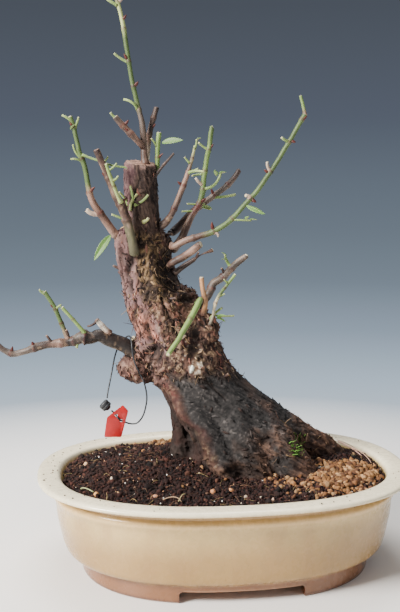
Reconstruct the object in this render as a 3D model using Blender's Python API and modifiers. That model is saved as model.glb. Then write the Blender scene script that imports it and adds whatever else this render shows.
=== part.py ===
"""Bonsai tree in an oval glazed pot, modelled at its real size in metres, +Z up.

The pot stands on its foot ring at z = 0 with its long axis along X.
The tree is described in its own frame: across (to the right of its front), depth
(away from its front) and height, and that frame is turned a little against the pot.
Lengths in the tables below are in millimetres.
"""
import math

import bmesh
import bpy
import numpy as np
from mathutils import Matrix, Vector, noise

MM = 0.001
GAP = 0.3                      # clearance between touching pieces

# Where the pot's centre lies from the origin, which is the middle of the whole base
POT_CENTRE = (14.7, 0.0)
TREE_TURN = math.radians(-7.8)

# Pot: half sizes of the oval, and heights
RIM_HALF = (130.0, 101.0)
RIM_TOP = 66.0
RIM_EDGE = 62.3                # underside of the rim's outer edge
RIM_INNER_INSET = 15.3
WALL_THICKNESS = 7.0
WALL_ROWS = [                  # height, and inset from the rim's edge along and across the oval
    (12.8, 24.0, 15.8),
    (14.0, 21.0, 14.4),
    (16.5, 18.6, 13.6),
    (21.0, 16.9, 13.2),
    (28.0, 15.2, 12.8),
    (38.0, 13.1, 12.4),
    (48.0, 12.3, 12.3),
]
FOOT_HALF = (101.0, 84.0)
FOOT_HEIGHT = 12.2
FOOT_JOINT = 8.0               # top of the notches; the foot's two halves end just under it
FOOT_RING_WIDTH = 11.0
FLOOR_UNDERSIDE = 9.5
FLOOR_TOP = 16.5
OVAL_POWER = 2.38              # 2 is an ellipse, more is squarer
OVAL_SIDES = 56
NOTCH_HALF_WIDTH = 40.7
DRAIN_RADIUS = 9.0
DRAIN_X = 45.0

# Drainage mesh and its wire
MESH_SIDE = 34.0
MESH_THICKNESS = 1.0
MESH_PITCH = 9.0
MESH_HOLE = 6.4
WIRE_RADIUS = 0.6

# Soil: its level, and the heaps on it as (across, depth, rise, spread) in the tree's frame
SOIL_EDGE = 61.0
SOIL_CROWN = 5.5
SOIL_ROUGHNESS = 0.9
SOIL_SIDES = 44
SOIL_MARGIN = 17.6             # from the rim's outer edge to the soil
SOIL_HEAPS = [
    (-34, 14, 4.5, 26),
    (-14, -28, 4.0, 22),
    (62, -14, 4.0, 22),
    (88, 14, 7.0, 24),
    (40, 34, 3.0, 30),
]

# Tag and its string
TAG_THICKNESS = 0.8
STRING_RADIUS = 0.55
BEAD_RADIUS = 3.7


def clear_scene():
    for item in list(bpy.data.objects):
        bpy.data.objects.remove(item, do_unlink=True)


def make_collection(name):
    collection = bpy.data.collections.new(name)
    bpy.context.scene.collection.children.link(collection)
    return collection


def make_empty(name, location=(0, 0), turn=0.0, parent=None):
    empty = bpy.data.objects.new(name, None)
    empty.location = (location[0] * MM, location[1] * MM, 0)
    empty.rotation_euler = (0, 0, turn)
    empty.parent = parent
    PARTS.objects.link(empty)
    return empty


def make_material(name, colour, roughness, metallic=0.0):
    material = bpy.data.materials.new(name)
    material.use_nodes = True
    shader = material.node_tree.nodes["Principled BSDF"]
    shader.inputs["Base Color"].default_value = (*colour, 1.0)
    shader.inputs["Roughness"].default_value = roughness
    shader.inputs["Metallic"].default_value = metallic
    return material


def finish(piece, material, parent, smooth_angle=50):
    """Give a piece its material, its parent and its shading."""
    piece.data.materials.clear()
    piece.data.materials.append(material)
    piece.parent = parent
    piece.data.shade_smooth()
    piece.data.set_sharp_from_angle(angle=math.radians(smooth_angle))
    return piece


def mesh_object(name, mesh, collection=None):
    piece = bpy.data.objects.new(name, mesh)
    (collection or PARTS).objects.link(piece)
    return piece


def object_from_bmesh(name, bm, collection=None):
    bmesh.ops.recalc_face_normals(bm, faces=bm.faces)
    mesh = bpy.data.meshes.new(name)
    bm.to_mesh(mesh)
    bm.free()
    return mesh_object(name, mesh, collection)


def as_mesh(piece):
    """Replace an object by its evaluated mesh, with its loose caps welded."""
    bpy.context.view_layer.update()
    evaluated = piece.evaluated_get(bpy.context.evaluated_depsgraph_get())
    mesh = bpy.data.meshes.new_from_object(evaluated)
    bm = bmesh.new()
    bm.from_mesh(mesh)
    bmesh.ops.remove_doubles(bm, verts=bm.verts, dist=0.00002)
    bmesh.ops.recalc_face_normals(bm, faces=bm.faces)
    bm.to_mesh(mesh)
    bm.free()
    name = piece.name
    collection = piece.users_collection[0]
    matrix = piece.matrix_world.copy()
    bpy.data.objects.remove(piece, do_unlink=True)
    solid = mesh_object(name, mesh, collection)
    solid.matrix_world = matrix
    return solid


def boolean(piece, cutter, operation="DIFFERENCE"):
    """Cut or join two meshes that share a frame, and keep the result as one mesh."""
    modifier = piece.modifiers.new(operation.lower(), "BOOLEAN")
    modifier.operation = operation
    modifier.solver = "EXACT"
    modifier.object = cutter
    bpy.context.view_layer.update()
    evaluated = piece.evaluated_get(bpy.context.evaluated_depsgraph_get())
    mesh = bpy.data.meshes.new_from_object(evaluated)
    piece.modifiers.clear()
    piece.data = mesh
    return piece


def hide_cutter(cutter):
    cutter.hide_render = True
    cutter.display_type = "WIRE"
    return cutter


def box_cutter(name, low, high):
    bm = bmesh.new()
    bmesh.ops.create_cube(bm, size=1.0)
    size = [high[i] - low[i] for i in range(3)]
    middle = [(high[i] + low[i]) / 2 for i in range(3)]
    bmesh.ops.scale(bm, vec=[s * MM for s in size], verts=bm.verts)
    bmesh.ops.translate(bm, vec=[m * MM for m in middle], verts=bm.verts)
    return hide_cutter(object_from_bmesh(name, bm, CUTTERS))


def inflated(piece, distance=GAP):
    """A copy of a solid grown outwards by the clearance, used as a cutter."""
    mesh = piece.data.copy()
    bm = bmesh.new()
    bm.from_mesh(mesh)
    bm.normal_update()
    shifts = [(vert, vert.normal.copy()) for vert in bm.verts]
    for vert, normal in shifts:
        vert.co += normal * distance * MM
    bm.to_mesh(mesh)
    bm.free()
    return hide_cutter(mesh_object("clearance_" + piece.name, mesh, CUTTERS))


# Smooth routes and tubes

def smooth_route(points, spacing):
    """Points of a Catmull-Rom curve through the given points, which may carry a radius."""
    points = [np.array(p, float) for p in points]
    ends = [2 * points[0] - points[1]] + points + [2 * points[-1] - points[-2]]
    route = []
    for i in range(1, len(ends) - 2):
        a, b, c, d = ends[i - 1:i + 3]
        steps = max(1, int(round(np.linalg.norm((c - b)[:3]) / spacing)))
        for k in range(steps):
            t = k / steps
            bend = 2 * b + (c - a) * t + (2 * a - 5 * b + 4 * c - d) * t * t
            bend += (3 * b - a - 3 * c + d) * t ** 3
            route.append(bend / 2)
    route.append(points[-1])
    return route


def tube(name, points, spacing=6.0, resolution=2, collection=None):
    """A tapered round stem through points of (across, depth, height, radius)."""
    curve = bpy.data.curves.new(name, "CURVE")
    curve.dimensions = "3D"
    curve.bevel_depth = MM
    curve.bevel_resolution = resolution
    curve.use_fill_caps = True
    route = smooth_route(points, spacing)
    spline = curve.splines.new("POLY")
    spline.points.add(len(route) - 1)
    for point, (across, depth, height, radius) in zip(spline.points, route):
        point.co = (across * MM, depth * MM, height * MM, 1.0)
        point.radius = max(radius, 0.3)
    piece = bpy.data.objects.new(name, curve)
    (collection or PARTS).objects.link(piece)
    return as_mesh(piece)


def round_ended(rows):
    """The same stem with a dome at each end in place of a flat one."""
    rows = [np.array(row, float) for row in rows]

    def dome(end, before):
        way = (end - before)[:3]
        way /= np.linalg.norm(way)
        return [np.append(end[:3] + way * end[3] * reach, end[3] * share)
                for reach, share in ((0.6, 0.75), (0.9, 0.3))]

    return dome(rows[0], rows[1])[::-1] + rows + dome(rows[-1], rows[-2])


def ellipsoid(name, centre, half, lean=0.0, collection=None):
    bm = bmesh.new()
    bmesh.ops.create_uvsphere(bm, u_segments=24, v_segments=12, radius=1.0)
    bmesh.ops.scale(bm, vec=[h * MM for h in half], verts=bm.verts)
    bmesh.ops.rotate(bm, verts=bm.verts, matrix=Matrix.Rotation(lean, 3, "Y"))
    bmesh.ops.translate(bm, vec=[c * MM for c in centre], verts=bm.verts)
    return object_from_bmesh(name, bm, collection)


def joined(name, pieces):
    """One mesh object holding several pieces that overlap."""
    bm = bmesh.new()
    for piece in pieces:
        bm.from_mesh(piece.data)
        bpy.data.objects.remove(piece, do_unlink=True)
    return object_from_bmesh(name, bm)


def blended(piece, voxel, ratio, smoothing=2):
    """Melt overlapping shapes into one skin, smooth it and thin out its faces."""
    remesh = piece.modifiers.new("melt", "REMESH")
    remesh.mode = "VOXEL"
    remesh.voxel_size = voxel * MM
    smooth = piece.modifiers.new("soften", "SMOOTH")
    smooth.factor = 0.5
    smooth.iterations = smoothing
    decimate = piece.modifiers.new("thin", "DECIMATE")
    decimate.ratio = ratio
    return as_mesh(piece)


# Pot

def oval(half, height, sides=OVAL_SIDES):
    """Points of a horizontal rounded oval of the given half sizes."""
    points = []
    for i in range(sides):
        angle = 2 * math.pi * i / sides
        c, s = math.cos(angle), math.sin(angle)
        x = half[0] * math.copysign(abs(c) ** (2 / OVAL_POWER), c)
        y = half[1] * math.copysign(abs(s) ** (2 / OVAL_POWER), s)
        points.append((x * MM, y * MM, height * MM))
    return points


def inset(half, amount):
    return (half[0] - amount, half[1] - amount)


def wall_half(height):
    """Half sizes of the outside of the wall, which swells out above the foot."""
    for lower, upper in zip(WALL_ROWS, WALL_ROWS[1:]):
        if height <= upper[0]:
            share = (height - lower[0]) / (upper[0] - lower[0])
            return tuple(RIM_HALF[i] - lower[i + 1] - (upper[i + 1] - lower[i + 1]) * share
                         for i in range(2))
    return (RIM_HALF[0] - WALL_ROWS[-1][1], RIM_HALF[1] - WALL_ROWS[-1][2])


def inner_half(height):
    return inset(wall_half(height), WALL_THICKNESS)


def turned(name, sections):
    """A closed oval ring whose cross-section is the given loop of half sizes and heights."""
    bm = bmesh.new()
    loops = [[bm.verts.new(p) for p in oval(half, height)] for half, height in sections]
    for lower, upper in zip(loops, loops[1:] + loops[:1]):
        for i in range(len(lower)):
            j = (i + 1) % len(lower)
            bm.faces.new((lower[i], lower[j], upper[j], upper[i]))
    return object_from_bmesh(name, bm)


def loft(name, rings):
    """A solid skin over a stack of ovals, closed flat at both ends."""
    bm = bmesh.new()
    loops = [[bm.verts.new(p) for p in ring] for ring in rings]
    for lower, upper in zip(loops, loops[1:]):
        for i in range(len(lower)):
            j = (i + 1) % len(lower)
            bm.faces.new((lower[i], lower[j], upper[j], upper[i]))
    bm.faces.new(loops[0])
    bm.faces.new(loops[-1])
    return object_from_bmesh(name, bm)


def make_pot_wall():
    """The wall and rim, with the top of the foot under them and a step that holds the floor."""
    foot_inside = inset(FOOT_HALF, FOOT_RING_WIDTH)
    # from the floor's edge down to the foot, up the wall, over the rim and down inside
    sections = [
        (foot_inside, FLOOR_TOP),
        (foot_inside, FOOT_JOINT),
        (inset(FOOT_HALF, 0.4), FOOT_JOINT),
        (inset(FOOT_HALF, 0.4), FOOT_HEIGHT - 0.8),
        (inset(FOOT_HALF, -0.6), FOOT_HEIGHT),
    ]
    for height, _, _ in WALL_ROWS:
        sections.append((wall_half(height), height))
    sections += [(inset(RIM_HALF, i), z) for i, z in (
        (10.9, 51.6), (10.9, 54.0), (12.2, 57.0), (9.0, 60.4),
        (1.6, RIM_EDGE), (0.1, 63.8), (1.4, 65.4), (5.0, RIM_TOP), (11.5, RIM_TOP), (14.8, 65.3),
        (16.2, 63.2), (19.0, 55.0))]
    for height in (36, 24):
        sections.append((inner_half(height), height))
    sections.append((inset(inner_half(FLOOR_TOP), 3.0), FLOOR_TOP))
    return finish(turned("pot", sections), GLAZE, POT_FRAME, 35)


def make_pot_floor():
    """The floor, with its two drainage holes."""
    half = inset(FOOT_HALF, FOOT_RING_WIDTH + GAP)
    floor = loft("pot_floor", [oval(half, FLOOR_UNDERSIDE), oval(half, FLOOR_TOP)])
    for side in (-1, 1):
        bm = bmesh.new()
        bmesh.ops.create_cone(bm, cap_ends=True, segments=20, radius1=DRAIN_RADIUS * MM,
                              radius2=DRAIN_RADIUS * MM, depth=30 * MM)
        place = Vector((side * DRAIN_X * MM, 0, FLOOR_TOP * MM))
        bmesh.ops.translate(bm, vec=place, verts=bm.verts)
        boolean(floor, hide_cutter(object_from_bmesh("drain_hole", bm, CUTTERS)))
    return finish(floor, GLAZE, POT_FRAME, 35)


def make_foot(side, label):
    """One half of the foot, from the front notch round to the back one."""
    foot_inside = inset(FOOT_HALF, FOOT_RING_WIDTH)
    top = FOOT_JOINT - GAP
    foot = turned("pot_foot_" + label, [
        (foot_inside, top),
        (foot_inside, 1.0),
        (inset(foot_inside, -0.8), 0.0),
        (inset(FOOT_HALF, 1.2), 0.0),
        (inset(FOOT_HALF, 0.4), 0.9),
        (inset(FOOT_HALF, 0.4), top),
    ])
    reach = RIM_HALF[1] + 10
    across = sorted((side * NOTCH_HALF_WIDTH, -side * (RIM_HALF[0] + 10)))
    boolean(foot, box_cutter("foot_notch", (across[0], -reach, -6), (across[1], reach, FOOT_HEIGHT)))
    return finish(foot, GLAZE, POT_FRAME, 35)


def make_drainage(side, label):
    """A plastic screen over a drainage hole and the wire staple that holds it."""
    middle = side * DRAIN_X
    half = MESH_SIDE / 2
    low = FLOOR_TOP + GAP
    screen = box_cutter("drainage_mesh_" + label, (middle - half, -half, low),
                        (middle + half, half, low + MESH_THICKNESS))
    CUTTERS.objects.unlink(screen)
    PARTS.objects.link(screen)
    screen.hide_render = False
    screen.display_type = "TEXTURED"
    bm = bmesh.new()
    for row in (-1, 0, 1):
        for column in (-1, 0, 1):
            hole = bmesh.ops.create_cube(bm, size=MESH_HOLE * MM)["verts"]
            place = ((middle + column * MESH_PITCH) * MM, row * MESH_PITCH * MM, low * MM)
            bmesh.ops.translate(bm, vec=place, verts=hole)
    boolean(screen, hide_cutter(object_from_bmesh("mesh_holes", bm, CUTTERS)))
    finish(screen, BLACK_PLASTIC, POT_FRAME, 30)

    under = FLOOR_UNDERSIDE - GAP - WIRE_RADIUS - 0.1
    over = low + MESH_THICKNESS + GAP + WIRE_RADIUS
    half_route = [(2.0, over + 0.1), (6.2, over + 0.1), (7.4, over - 0.9), (7.5, 15.6), (7.5, 10.8),
                  (8.1, under + 0.5), (9.8, under - 0.1), (12.4, under), (15.4, under)]
    route = [(middle - x, 0.0, z, WIRE_RADIUS) for x, z in reversed(half_route)]
    route += [(middle + x, 0.0, z, WIRE_RADIUS) for x, z in half_route]
    wire = tube("mesh_wire_" + label, route, spacing=2.6)
    return finish(wire, ALUMINIUM, POT_FRAME, 60)


# Tree: every row is (across, depth, height, radius)

TRUNK_LOBES = [
    # the main stem, from the sawn top down to the roots
    [(-57, -4, 276, 11.3), (-57, -4, 262, 11.5), (-56, -4, 244, 11.5), (-56, -3, 228, 13.0)],
    [(-58, -2, 222, 15.5), (-56, 0, 214, 17.0), (-51, 0, 197, 20.0), (-47, 0, 183, 21.5),
     (-40, 0, 169, 23.0), (-33, 0, 155, 24.0), (-26, 0, 141, 25.0), (-19, 0, 127, 26.0),
     (-9, 1, 112, 28.0), (2, 2, 98, 31.0), (10, 3, 84, 34.0), (14, 3, 68, 37.0), (16, 3, 56, 36.0)],
    # shoulder under the left shoots and the ridge at its back
    [(-70, -6, 228, 5.0), (-66, -6, 220, 8.5), (-60, -4, 206, 12.0)],
    [(-46, 8, 226, 6.0), (-44, 10, 214, 12.0), (-40, 10, 192, 15.0), (-32, 12, 165, 18.0)],
    # knobs and burls
    [(-64, 1, 134, 8.5), (-58, 1, 136, 10.0), (-50, 0, 137, 11.0), (-40, 0, 142, 14.0)],
    [(-56, -3, 150, 8.5), (-48, -2, 152, 12.0)],
    [(-16, -4, 164, 12.0), (-24, -4, 166, 15.0)],
    [(-20, 2, 184, 4.6), (-28, 0, 182, 6.5), (-36, 0, 178, 11.0)],
    [(-12, -4, 148, 10.0), (-18, -4, 150, 15.0)],
    [(-34, -16, 168, 8.0), (-30, -14, 158, 10.0), (-26, -12, 146, 12.0)],
    # the thick lip beside the hollow at the front left
    [(-32, -16, 120, 6.0), (-24, -22, 110, 8.0), (-13, -27, 95, 9.0), (-4, -31, 80, 9.0),
     (2, -32, 66, 8.0)],
    # roots that flare out into the soil
    [(-8, 0, 124, 18.0), (16, 3, 104, 17.5), (38, 8, 89, 15.5), (58, 13, 78, 12.5),
     (76, 18, 69, 10.0), (88, 20, 60, 7.0)],
    [(8, -4, 108, 16.0), (28, -12, 88, 17.0), (46, -20, 70, 13.5), (58, -24, 56, 10.0)],
    [(-2, -6, 108, 17.0), (8, -16, 92, 17.0), (18, -24, 72, 14.0), (24, -28, 56, 10.0)],
    [(-22, 6, 108, 15.0), (-24, 8, 90, 12.0), (-28, 10, 70, 9.5), (-34, 12, 56, 7.0)],
    [(-6, 12, 104, 18.0), (2, 26, 84, 17.0), (8, 36, 64, 12.0), (10, 40, 54, 9.0)],
    [(26, 12, 94, 17.0), (44, 26, 76, 14.0), (58, 34, 62, 10.0), (66, 38, 54, 7.0)],
]
HOLLOW = ((-25, -17, 89), (8.5, 15.0, 17.0), 0.35)   # centre, half sizes and lean of the rotted hollow
ROOT_PAD = ((18, 4, 46), (64, 46, 13))          # centre and half sizes of the buried roots
SAW_CUT = ((-55, -4, 277), (0.10, -0.16, 1.0))  # point and direction of the sawn top

LIMBS = {
    "limb_left": [(-50, -2, 143, 7.0), (-58, -4, 147, 6.0), (-75, -6, 155, 4.9), (-85, -8, 160, 4.7),
                  (-93, -9, 160, 5.0), (-97, -10, 157, 4.4), (-103, -10, 155, 3.4),
                  (-112, -11, 155, 2.9), (-122, -12, 154, 2.6), (-129, -12, 152, 2.9),
                  (-136, -12, 149, 2.2), (-143, -12, 147, 2.1), (-148, -12, 148, 2.2),
                  (-153, -12, 152, 1.8), (-158, -12, 157, 1.6)],
    "leader_shoot": [(-54, -7, 268, 3.4), (-54, -5, 281, 2.9), (-55, -4, 303, 2.4), (-57, -4, 309, 2.0),
                     (-59, -4, 319, 1.9), (-62, -4, 332, 1.9), (-64, -4, 345, 1.8),
                     (-66, -4, 357, 2.0), (-68, -4, 371, 1.7), (-71, -4, 382, 1.7),
                     (-73, -4, 394, 1.6)],
    "top_stub_right": [(-53, 2, 276, 2.2), (-51, 2, 296, 2.1), (-46, 2, 314, 2.0)],
    "top_shoot_short": [(-46, -3, 264, 1.8), (-46, -2, 279, 1.8), (-44, -2, 297, 1.8)],
    "top_twig": [(-49, -6, 263, 1.2), (-45, -8, 271, 1.1), (-34, -13, 283, 0.9)],
    "shoot_left": [(-66, -5, 221, 4.2), (-74, -8, 229, 3.5), (-81, -12, 240, 3.1), (-88, -14, 250, 2.9),
                   (-91, -15, 262, 2.1), (-93, -16, 275, 2.1), (-96, -16, 282, 2.1),
                   (-98, -16, 292, 1.8), (-100, -16, 302, 1.8), (-102, -16, 307, 1.9)],
    "shoulder_stub_left": [(-60, -16, 214, 3.6), (-61, -20, 224, 3.5), (-68, -22, 249, 3.4),
                           (-72, -22, 254, 2.8), (-78, -24, 271, 2.5), (-84, -26, 285, 2.2)],
    "crown_branch": [(-44, -4, 232, 3.4), (-36, -9, 242, 2.7), (-30, -12, 256, 2.3), (-25, -12, 269, 2.0),
                     (-21, -12, 282, 1.1), (-20, -12, 288, 0.9)],
    "crown_shoot": [(-38, 4, 214, 3.9), (-30, 4, 224, 3.3), (-23, 4, 240, 2.8), (-16, 4, 250, 2.5),
                    (-14, 4, 265, 2.1), (-12, 4, 279, 2.0), (-8, 4, 301, 2.1)],
    "crown_fork": [(-36, 14, 228, 3.4), (-22, 14, 243, 2.7), (-6, 14, 255, 2.2), (1, 14, 260, 2.2),
                   (6, 14, 265, 2.2), (11, 14, 272, 2.0)],
    "shoot_right": [(-36, -8, 220, 3.4), (-27, -12, 225, 2.8), (-10, -16, 230, 2.4), (-2, -18, 234, 2.2),
                    (3, -18, 238, 2.1), (13, -20, 249, 2.0), (22, -20, 259, 2.0), (30, -21, 271, 1.9),
                    (39, -21, 285, 1.9), (49, -22, 303, 1.8), (52, -22, 308, 2.0)],
    "right_stub_upper": [(-38, -10, 208, 3.8), (-29, -13, 213, 3.5), (-16, -21, 223, 3.4)],
    "right_stub_lower": [(-36, -4, 200, 2.6), (-28, -4, 207, 2.2), (-8, -6, 218, 1.8)],
    "right_branch_low": [(-20, 0, 176, 4.2), (-13, -1, 185, 3.6), (-8, -2, 195, 3.2), (-2, -4, 198, 2.8),
                         (7, -8, 208, 2.5), (15, -11, 215, 2.2)],
    "right_stub_orange": [(-16, -8, 170, 2.4), (-12.5, -12, 182, 2.2), (-14.5, -14, 192, 2.1),
                          (-15.5, -15, 200, 2.1)],
    "right_twig_low": [(-10, -14, 168, 1.5), (-5, -17, 186, 1.4), (2, -19, 196, 1.3), (7, -21, 203, 1.2)],
    "shoot_front": [(-18, -10, 183, 2.0), (-15.5, -20, 187, 2.0), (-17.5, -27, 184, 2.0),
                    (-26, -36, 169.5, 2.0), (-37, -46, 153, 2.0)],
}

# Side growth on a limb or shoot: its own route and the piece that it grows from
SIDE_GROWTH = {
    "limb_left_shoot": ("limb_left", [(-106, -11, 155, 1.9), (-108, -11, 161, 1.8), (-112, -12, 171, 1.7),
                                      (-116, -12, 181, 1.6), (-122, -12, 190, 1.7)]),
    "limb_left_twig": ("limb_left", [(-94, -11, 160, 1.5), (-98, -13, 166, 1.4), (-104, -14, 173, 1.3),
                                     (-110, -15, 180, 1.3)]),
    "limb_left_stub": ("limb_left", [(-76, -8, 157, 2.7), (-81, -10, 164, 2.5), (-87, -12, 171, 2.3)]),
    "shoot_left_twig": ("shoot_left", [(-95, -17, 282, 0.9), (-85, -19, 279, 0.8), (-75, -20, 275, 0.8),
                                       (-66, -20, 274, 0.7)]),
    "shoulder_twig_left": ("shoulder_stub_left", [(-68, -24, 250, 1.5), (-71, -28, 257, 1.4),
                                                  (-74, -31, 266, 1.3), (-77, -33, 276, 1.1)]),
    "shoot_right_tip": ("shoot_right", [(52, -22, 308, 1.2), (51, -22, 313, 1.1), (49, -22, 320, 1.1)]),
    "crown_branch_twig": ("crown_branch", [(-25, -13, 270, 1.0), (-20, -15, 272, 0.9),
                                           (-14, -17, 271, 0.8)]),
    "top_stub_left": ("leader_shoot", [(-54.5, -6, 287.5, 2.3), (-60, -9, 293.5, 2.3),
                                       (-66, -11, 299.5, 2.3), (-72.5, -12, 307, 2.2)]),
}

# Young growth, still green
GREEN_STEMS = {"leader_shoot", "top_shoot_short", "shoot_left", "crown_shoot", "shoot_right",
               "shoot_front", "limb_left_shoot", "limb_left_twig", "shoot_left_twig",
               "shoulder_twig_left", "shoot_right_tip", "right_twig_low"}

# Leaf blades: base, tip, the direction that the blade's width runs in, width and droop
LEAVES = {
    "leaf_shoulder": ((-76, -17, 229), (-87, -24, 213), (0.75, 0.2, 0.55), 5.4, 2.0),
    "leaf_top": ((-42.0, -6, 290), (-28, -12, 292), (0.1, 0.6, 0.75), 5.0, 1.0),
    "leaf_right": ((14, -25, 249), (26, -31, 244), (0.2, 0.7, 0.6), 4.2, 1.2),
}

TAG_OUTLINE = [(-70, 110.7), (-66.2, 106.5), (-71.2, 88), (-83.2, 88), (-81.1, 101.9)]
TAG_DEPTH = -8.0
TAG_HOLES = [(-71.2, 99.6), (-74.6, 103.4)]
TAG_HOLE_RADIUS = 1.7
BEAD = ((-82.2, -6.6, 110.1), (-4.8, 0.0, 4.4))   # centre, and the way from its foot to its top

# The string's own points: up behind the limb, over it, down past the burl and through the tag
STRING_ROUTE = [
    (-81.0, -6.4, 115.2), (-80.4, -4.6, 120.0), (-78.3, -1.0, 131.0), (-76.0, 1.6, 143.0),
    (-73.2, 2.8, 150.6), (-69.4, 2.2, 155.4), (-66.2, -0.6, 157.9), (-64.4, -5.6, 157.6),
    (-63.2, -11.0, 154.0), (-62.6, -12.4, 148.2), (-61.2, -12.4, 141.5), (-58.2, -12.0, 134.5),
    (-55.0, -11.8, 127.6), (-53.2, -11.0, 118.0), (-54.0, -9.4, 110.0), (-56.4, -7.4, 102.4),
    (-60.2, -5.4, 97.4), (-64.6, -4.2, 96.4), (-68.4, -4.8, 97.6), (-70.4, -6.4, 99.0),
    (-71.2, -8.0, 99.6), (-72.0, -9.6, 100.5), (-73.8, -9.7, 102.4), (-74.6, -8.0, 103.4),
    (-75.3, -6.4, 104.0), (-76.6, -5.9, 105.0), (-78.0, -6.3, 106.3),
]


def make_trunk():
    """The trunk with its burls and root flare, which grew as one piece."""
    lobes = [tube("lobe", round_ended(rows), spacing=7.0, resolution=3) for rows in TRUNK_LOBES]
    lobes.append(ellipsoid("lobe", *ROOT_PAD))
    trunk = blended(joined("trunk", lobes), voxel=2.4, ratio=0.1)
    hollow = ellipsoid("rotted_hollow", *HOLLOW, collection=CUTTERS)
    boolean(trunk, hide_cutter(hollow))
    bm = bmesh.new()
    bm.from_mesh(trunk.data)
    for vert in bm.verts:
        # gnarled bark: long swellings that run with the stem
        spot = Vector((vert.co.x * 60, vert.co.y * 60, vert.co.z * 25))
        vert.co += vert.normal * noise.noise(spot) * 1.6 * MM
    point, direction = SAW_CUT
    geometry = bm.verts[:] + bm.edges[:] + bm.faces[:]
    cut = bmesh.ops.bisect_plane(bm, geom=geometry, plane_co=[p * MM for p in point],
                                 plane_no=direction, clear_outer=True)
    edges = [item for item in cut["geom_cut"] if isinstance(item, bmesh.types.BMEdge)]
    bmesh.ops.holes_fill(bm, edges=edges)
    bmesh.ops.triangulate(bm, faces=bm.faces)
    bm.to_mesh(trunk.data)
    bm.free()
    return finish(trunk, BARK, TREE_FRAME)


def make_stems(trunk):
    """Limbs, shoots and stubs, each cut clear of what it grows from."""
    trunk_clearance = inflated(trunk)
    trunk_clearance.parent = TREE_FRAME
    stems = {}
    for name, rows in LIMBS.items():
        stem = tube(name, rows, spacing=7.5)
        stem.parent = TREE_FRAME
        boolean(stem, trunk_clearance)
        green = name in GREEN_STEMS
        stems[name] = finish(stem, GREEN_BARK if green else TWIG_BARK, TREE_FRAME)
    for name, (host, rows) in SIDE_GROWTH.items():
        stem = tube(name, rows, spacing=5.0)
        stem.parent = TREE_FRAME
        clearance = inflated(stems[host])
        clearance.parent = TREE_FRAME
        boolean(stem, clearance)
        green = name in GREEN_STEMS
        stems[name] = finish(stem, GREEN_BARK if green else TWIG_BARK, TREE_FRAME)
    return stems


def make_leaf(name, base, tip, across, width, droop):
    """A thin lance-shaped blade that droops a little towards its tip."""
    base, tip, across = Vector(base), Vector(tip), Vector(across)
    along = tip - base
    across = (across - across.project(along)).normalized()
    normal = along.cross(across).normalized()
    if normal.z < 0:
        normal.negate()
    bm = bmesh.new()
    rows = []
    steps = 6
    for i in range(steps + 1):
        t = i / steps
        half = width / 2 * max(math.sin(math.pi * t ** 0.8) ** 0.9, 0.12)
        middle = base + along * t - normal * droop * (t * t - t * 0.4)
        fold = normal * half * 0.25
        rows.append([bm.verts.new((middle + across * half * s + fold * abs(s)) * MM) for s in (-1, 0, 1)])
    for first, second in zip(rows, rows[1:]):
        for k in range(2):
            bm.faces.new((first[k], first[k + 1], second[k + 1], second[k]))
    leaf = object_from_bmesh(name, bm)
    solidify = leaf.modifiers.new("blade", "SOLIDIFY")
    solidify.thickness = 0.5 * MM
    solidify.offset = 0.0
    return finish(as_mesh(leaf), LEAF_GREEN, TREE_FRAME)


# Soil

def tree_to_pot(across, depth):
    """Pot coordinates of a point given in the tree's frame."""
    c, s = math.cos(TREE_TURN), math.sin(TREE_TURN)
    return across * c - depth * s, across * s + depth * c


def soil_height(x, y):
    """Height of the soil, heaped around the trunk and its roots."""
    edge = inset(RIM_HALF, SOIL_MARGIN)
    inward = max(0.0, 1 - abs(x / edge[0]) ** OVAL_POWER - abs(y / edge[1]) ** OVAL_POWER)
    height = SOIL_EDGE + SOIL_CROWN * inward
    for across, depth, rise, spread in SOIL_HEAPS:
        heap_x, heap_y = tree_to_pot(across, depth)
        distance = ((x - heap_x) ** 2 + (y - heap_y) ** 2) / spread ** 2
        height += rise * math.exp(-distance) * min(1.0, 2.5 * inward)
    lumps = noise.noise(Vector((x * 0.11, y * 0.11, 3.7)))
    lumps += 0.6 * noise.noise(Vector((x * 0.3, y * 0.3, 9.1)))
    return height + SOIL_ROUGHNESS * lumps


def soil_ring(scale):
    """One ring of the soil's surface, as a share of its whole outline."""
    half = inset(RIM_HALF, SOIL_MARGIN + GAP)
    ring = []
    for x, y, _ in oval((half[0] * scale, half[1] * scale), 0.0, SOIL_SIDES):
        ring.append((x, y, soil_height(x / MM, y / MM) * MM))
    return ring


def make_soil(trunk):
    rings = [oval(inset(inner_half(height), margin + GAP), height, SOIL_SIDES)
             for height, margin in ((FLOOR_TOP + GAP, 3.4), (24, 1.0), (36, 0.6))]
    rings.append(oval(inset(RIM_HALF, 19.3 + GAP), 55.0, SOIL_SIDES))
    rings += [soil_ring(scale) for scale in (1.0, 0.93, 0.83, 0.72, 0.6, 0.48, 0.34, 0.18)]
    soil = loft("soil", rings)
    soil.parent = POT_FRAME
    for side in (-1, 1):
        middle = side * DRAIN_X
        half = MESH_SIDE / 2 + 0.5
        pocket = box_cutter("mesh_pocket", (middle - half, -half, 10), (middle + half, half, 19.9))
        pocket.parent = POT_FRAME
        boolean(soil, pocket)
    socket = inflated(trunk, 1.5 * GAP)
    socket.parent = TREE_FRAME
    boolean(soil, socket)
    return finish(soil, SOIL_BROWN, POT_FRAME)


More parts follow.
